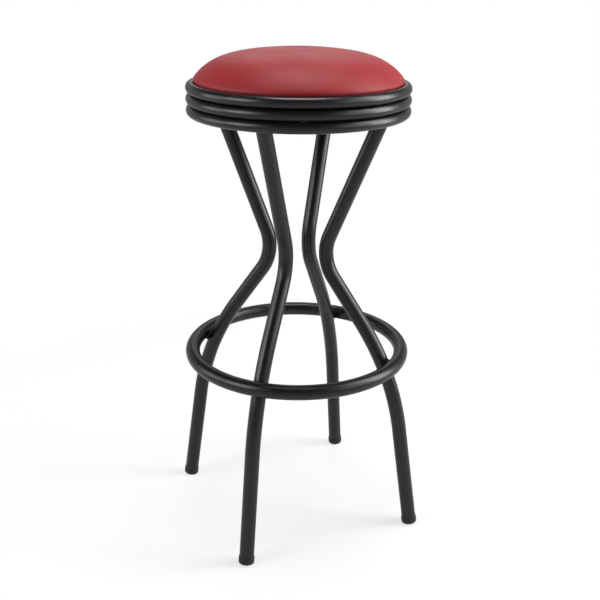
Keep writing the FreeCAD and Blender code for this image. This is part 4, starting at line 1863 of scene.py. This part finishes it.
    def staple(self) -> bpy.types.Object:
        """One staple whose crown lies along Y under z = 0.

        Returns:
            The staple.
        """
        width, thick = self.staple_wire
        half = self.staple_crown / 2
        bend = 2 * thick
        side = [(-half, self.staple_leg - thick), (-half, bend - thick)]
        side += [(-half + bend - bend * math.cos(angle), bend - thick - bend * math.sin(angle))
                 for angle in map(math.radians, self.staple_bend_angles)]
        side += [(-half + bend, -thick)]
        path = side + [(-y, z) for y, z in reversed(side)]
        points: list[Point] = []
        for index, (y, z) in enumerate(path):
            before = path[max(index - 1, 0)]
            after = path[min(index + 1, len(path) - 1)]
            along = Vector((after[0] - before[0], after[1] - before[1])).normalized()
            normal = Vector((-along.y, along.x)) * thick
            for x, share in ((-width / 2, 0.0), (width / 2, 0.0), (width / 2, 1.0), (-width / 2, 1.0)):
                points.append((x, y + normal.x * share, z + normal.y * share))
        faces: list[Face] = [(0, 1, 2, 3), tuple(len(points) - 4 + step for step in range(4))]
        for start in range(0, len(points) - 4, 4):
            for step in range(4):
                after = (step + 1) % 4
                faces.append((start + step, start + after, start + 4 + after, start + 4 + step))
        made = MeshKit.piece("cover_staple_set", points, faces)
        MeshKit.face_outwards(made)
        return made

    def make_staples(self) -> None:
        """Drive the staples through the hem, between the bracket tabs."""
        radius = self.staple_radius
        step = (RIGHT_ANGLE - 2 * self.staple_first_angle) / (self.staples_per_quarter - 1)
        places: list[Point] = []
        turns: list[float] = []
        for corner in Corner:
            for count in range(self.staples_per_quarter):
                turn = math.radians(corner.value + self.staple_first_angle + count * step)
                places.append((radius * math.cos(turn), radius * math.sin(turn), self.hem_height))
                turns.append(turn)
        staples = self.stock.copied(self.staple(), places, turns, self.stock.finishes.wire, self.staple_play)
        for polygon in staples.data.polygons:
            polygon.use_smooth = False
        keep(staples, Body.SEAT, "cover_staples")

    def build(self, nodes: dict[str, bpy.types.Object]) -> None:
        """Make the cushion and dress the board.

        Args:
            nodes: The CAD objects by node.
        """
        self.make_cover()
        self.make_foam()
        self.make_staples()
        dress(nodes["seat_board"], self.stock.finishes.plywood)


@dataclass(frozen=True)
class SoftBox:
    """A soft box aimed at the stool's middle, placed by its bearing as the viewer sees the stool."""

    name: str
    rightward: float
    toward: float
    height: float
    power: float
    size: tuple[float, float] = (0.9, 1.2)


@dataclass
class Studio:
    """The photograph's view, soft light and a white surround."""

    distance: float = 1.3585
    height: float = 0.8789
    azimuth: float = -23.298
    pitch: float = 20.996
    yaw: float = 0.193
    roll: float = 0.528
    lens: float = 55.709
    sensor: float = 36.0
    floor_size: float = 6.0
    floor_grey: float = 0.36
    shadow_reach: float = 0.45
    room_light: float = 0.08
    floor_glow: float = 0.64
    floor_mirror: float = 0.36
    horizon: float = 0.4
    ceiling: float = 0.09
    horizon_fade: tuple[float, float] = (0.25, 0.5)
    middle: Point = (0.0, 0.0, 0.45)
    soft_boxes: tuple[SoftBox, ...] = (
        SoftBox("key_right", 1.9, 0.0, 0.95, 24.0),
        SoftBox("key_front_right", 1.6, 0.95, 1.3, 7.0),
        SoftBox("high_right", 1.45, -0.1, 1.8, 17.0),
        SoftBox("fill_front_left", -1.6, 0.95, 1.3, 16.0),
        SoftBox("fill_left", -1.9, 0.0, 0.9, 8.0),
        SoftBox("overhead", 0.0, -0.2, 2.6, 22.0, (0.9, 0.9)),
        SoftBox("back", 0.0, -1.8, 1.6, 3.5, (1.2, 0.9)),
    )

    def make_camera(self) -> None:
        """Place the camera at the photograph's viewpoint, with no shift."""
        turn = Matrix.Rotation(math.radians(self.azimuth), 3, "Z")
        pitch, yaw, roll = (math.radians(angle) for angle in (self.pitch, self.yaw, self.roll))
        ahead = math.cos(pitch)
        forward = Vector((math.sin(yaw) * ahead, math.cos(yaw) * ahead, -math.sin(pitch)))
        right = Vector((math.cos(yaw), -math.sin(yaw), 0))
        up = right.cross(forward)
        tilted_right = right * math.cos(roll) + up * math.sin(roll)
        tilted_up = up * math.cos(roll) - right * math.sin(roll)
        columns = [turn @ tilted_right, turn @ tilted_up, turn @ -forward]
        pose = Matrix(columns).transposed().to_4x4()
        pose.translation = turn @ Vector((0, -self.distance, self.height))
        data = bpy.data.cameras.new("camera")
        data.sensor_width = self.sensor
        data.lens = self.lens
        camera = bpy.data.objects.new("camera", data)
        camera.matrix_world = pose
        bpy.context.scene.collection.objects.link(camera)
        bpy.context.scene.camera = camera

    def hang(self, box: SoftBox) -> None:
        """Hang a soft box where its bearing says, looking at the stool's middle.

        Args:
            box: The soft box.
        """
        data = bpy.data.lights.new(box.name, "AREA")
        data.shape = "RECTANGLE"
        data.size, data.size_y = box.size
        data.energy = box.power
        lamp = bpy.data.objects.new(box.name, data)
        turn = Matrix.Rotation(math.radians(self.azimuth), 3, "Z")
        lamp.location = turn @ Vector((box.rightward, -box.toward, box.height))
        lamp.rotation_euler = (Vector(self.middle) - lamp.location).to_track_quat("-Z", "Y").to_euler()
        bpy.context.scene.collection.objects.link(lamp)

    def make_world(self) -> None:
        """A white surround for the camera and in reflections, with a plain level of light."""
        world = bpy.data.worlds.new("white_surround")
        world.use_nodes = True
        bpy.context.scene.world = world
        world.node_tree.nodes.clear()
        kit = NodeKit(world.node_tree)
        path = kit.add("ShaderNodeLightPath").outputs
        direction = kit.add("ShaderNodeTexCoord").outputs["Generated"]
        upward = kit.add("ShaderNodeSeparateXYZ", Vector=direction).outputs["Z"]
        start, end = self.horizon_fade
        level = kit.add("ShaderNodeMapRange", {"interpolation_type": "SMOOTHSTEP"}, Value=upward,
                        From_Min=start, From_Max=end, To_Min=self.horizon, To_Max=self.ceiling)
        white = (1.0, 1.0, 1.0, 1.0)
        light, mirror, shown = (kit.add("ShaderNodeBackground", Color=white, Strength=strength).outputs[0]
                                for strength in (self.room_light, level.outputs["Result"], 1.0))
        seen = kit.add_filled("ShaderNodeMath", "MAXIMUM", path["Is Camera Ray"],
                              path["Is Transmission Ray"])
        hidden = kit.add_filled("ShaderNodeMixShader", None, path["Is Glossy Ray"], light, mirror)
        surface = kit.add_filled("ShaderNodeMixShader", None, seen, hidden, shown)
        kit.add("ShaderNodeOutputWorld", Surface=surface)

    def floor_material(self) -> bpy.types.Material:
        """White to the camera with the shadow on it, and a plain grey floor that glows in reflections.

        Returns:
            The material.
        """
        material = bpy.data.materials.new("studio_floor")
        material.use_nodes = True
        material.node_tree.nodes.clear()
        kit = NodeKit(material.node_tree)
        path = kit.add("ShaderNodeLightPath").outputs
        grey = (self.floor_grey, self.floor_grey, self.floor_grey, 1.0)
        matte = kit.add("ShaderNodeBsdfDiffuse", Color=grey).outputs[0]
        glow, mirror, white = (kit.add("ShaderNodeEmission", Strength=strength).outputs[0]
                               for strength in (self.floor_glow, self.floor_mirror, 1.0))
        place = kit.add("ShaderNodeTexCoord").outputs["Object"]
        away = kit.add("ShaderNodeVectorMath", {"operation": "LENGTH"}, Vector=place).outputs["Value"]
        fade = kit.add("ShaderNodeMapRange", Value=away, From_Min=self.shadow_reach,
                       From_Max=self.shadow_reach * 2).outputs["Result"]
        lit = kit.add_filled("ShaderNodeAddShader", None, matte, glow)
        shiny = kit.add_filled("ShaderNodeAddShader", None, matte, mirror)
        shown = kit.add_filled("ShaderNodeMixShader", None, fade, lit, white)
        hidden = kit.add_filled("ShaderNodeMixShader", None, path["Is Glossy Ray"], matte, shiny)
        surface = kit.add_filled("ShaderNodeMixShader", None, path["Is Camera Ray"], hidden, shown)
        kit.add("ShaderNodeOutputMaterial", Surface=surface)
        return material

    def make_floor(self) -> None:
        """A white floor that keeps the stool's soft shadow."""
        half = self.floor_size / 2
        corners = [(-half, -half, 0), (half, -half, 0), (half, half, 0), (-half, half, 0)]
        floor = MeshKit.piece("studio_floor", corners, [(0, 1, 2, 3)])
        floor.data.materials.append(self.floor_material())
        floor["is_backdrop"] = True

    def build(self) -> None:
        """Set the view, the lamps, the surround and the floor."""
        self.make_camera()
        self.make_world()
        self.make_floor()
        for box in self.soft_boxes:
            self.hang(box)
        bpy.context.scene.view_settings.view_transform = "Standard"


def main() -> tuple[object, object]:
    """Load the frame and build the stool and its studio in order.

    Returns:
        The bounds of the CAD model, from straight after it was loaded.
    """
    logging.basicConfig(level=logging.INFO, format="%(name)s %(message)s")
    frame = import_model()
    cad_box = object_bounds()
    nodes = frame["nodes"]
    stock = Stock()
    LegFrame(stock).build(nodes)
    Swivel(stock).build(nodes)
    Fasteners(stock).build()
    Drum(stock).build(nodes)
    Cushion(stock).build(nodes)
    Studio().build()
    return cad_box


if __name__ == "__main__":
    main()
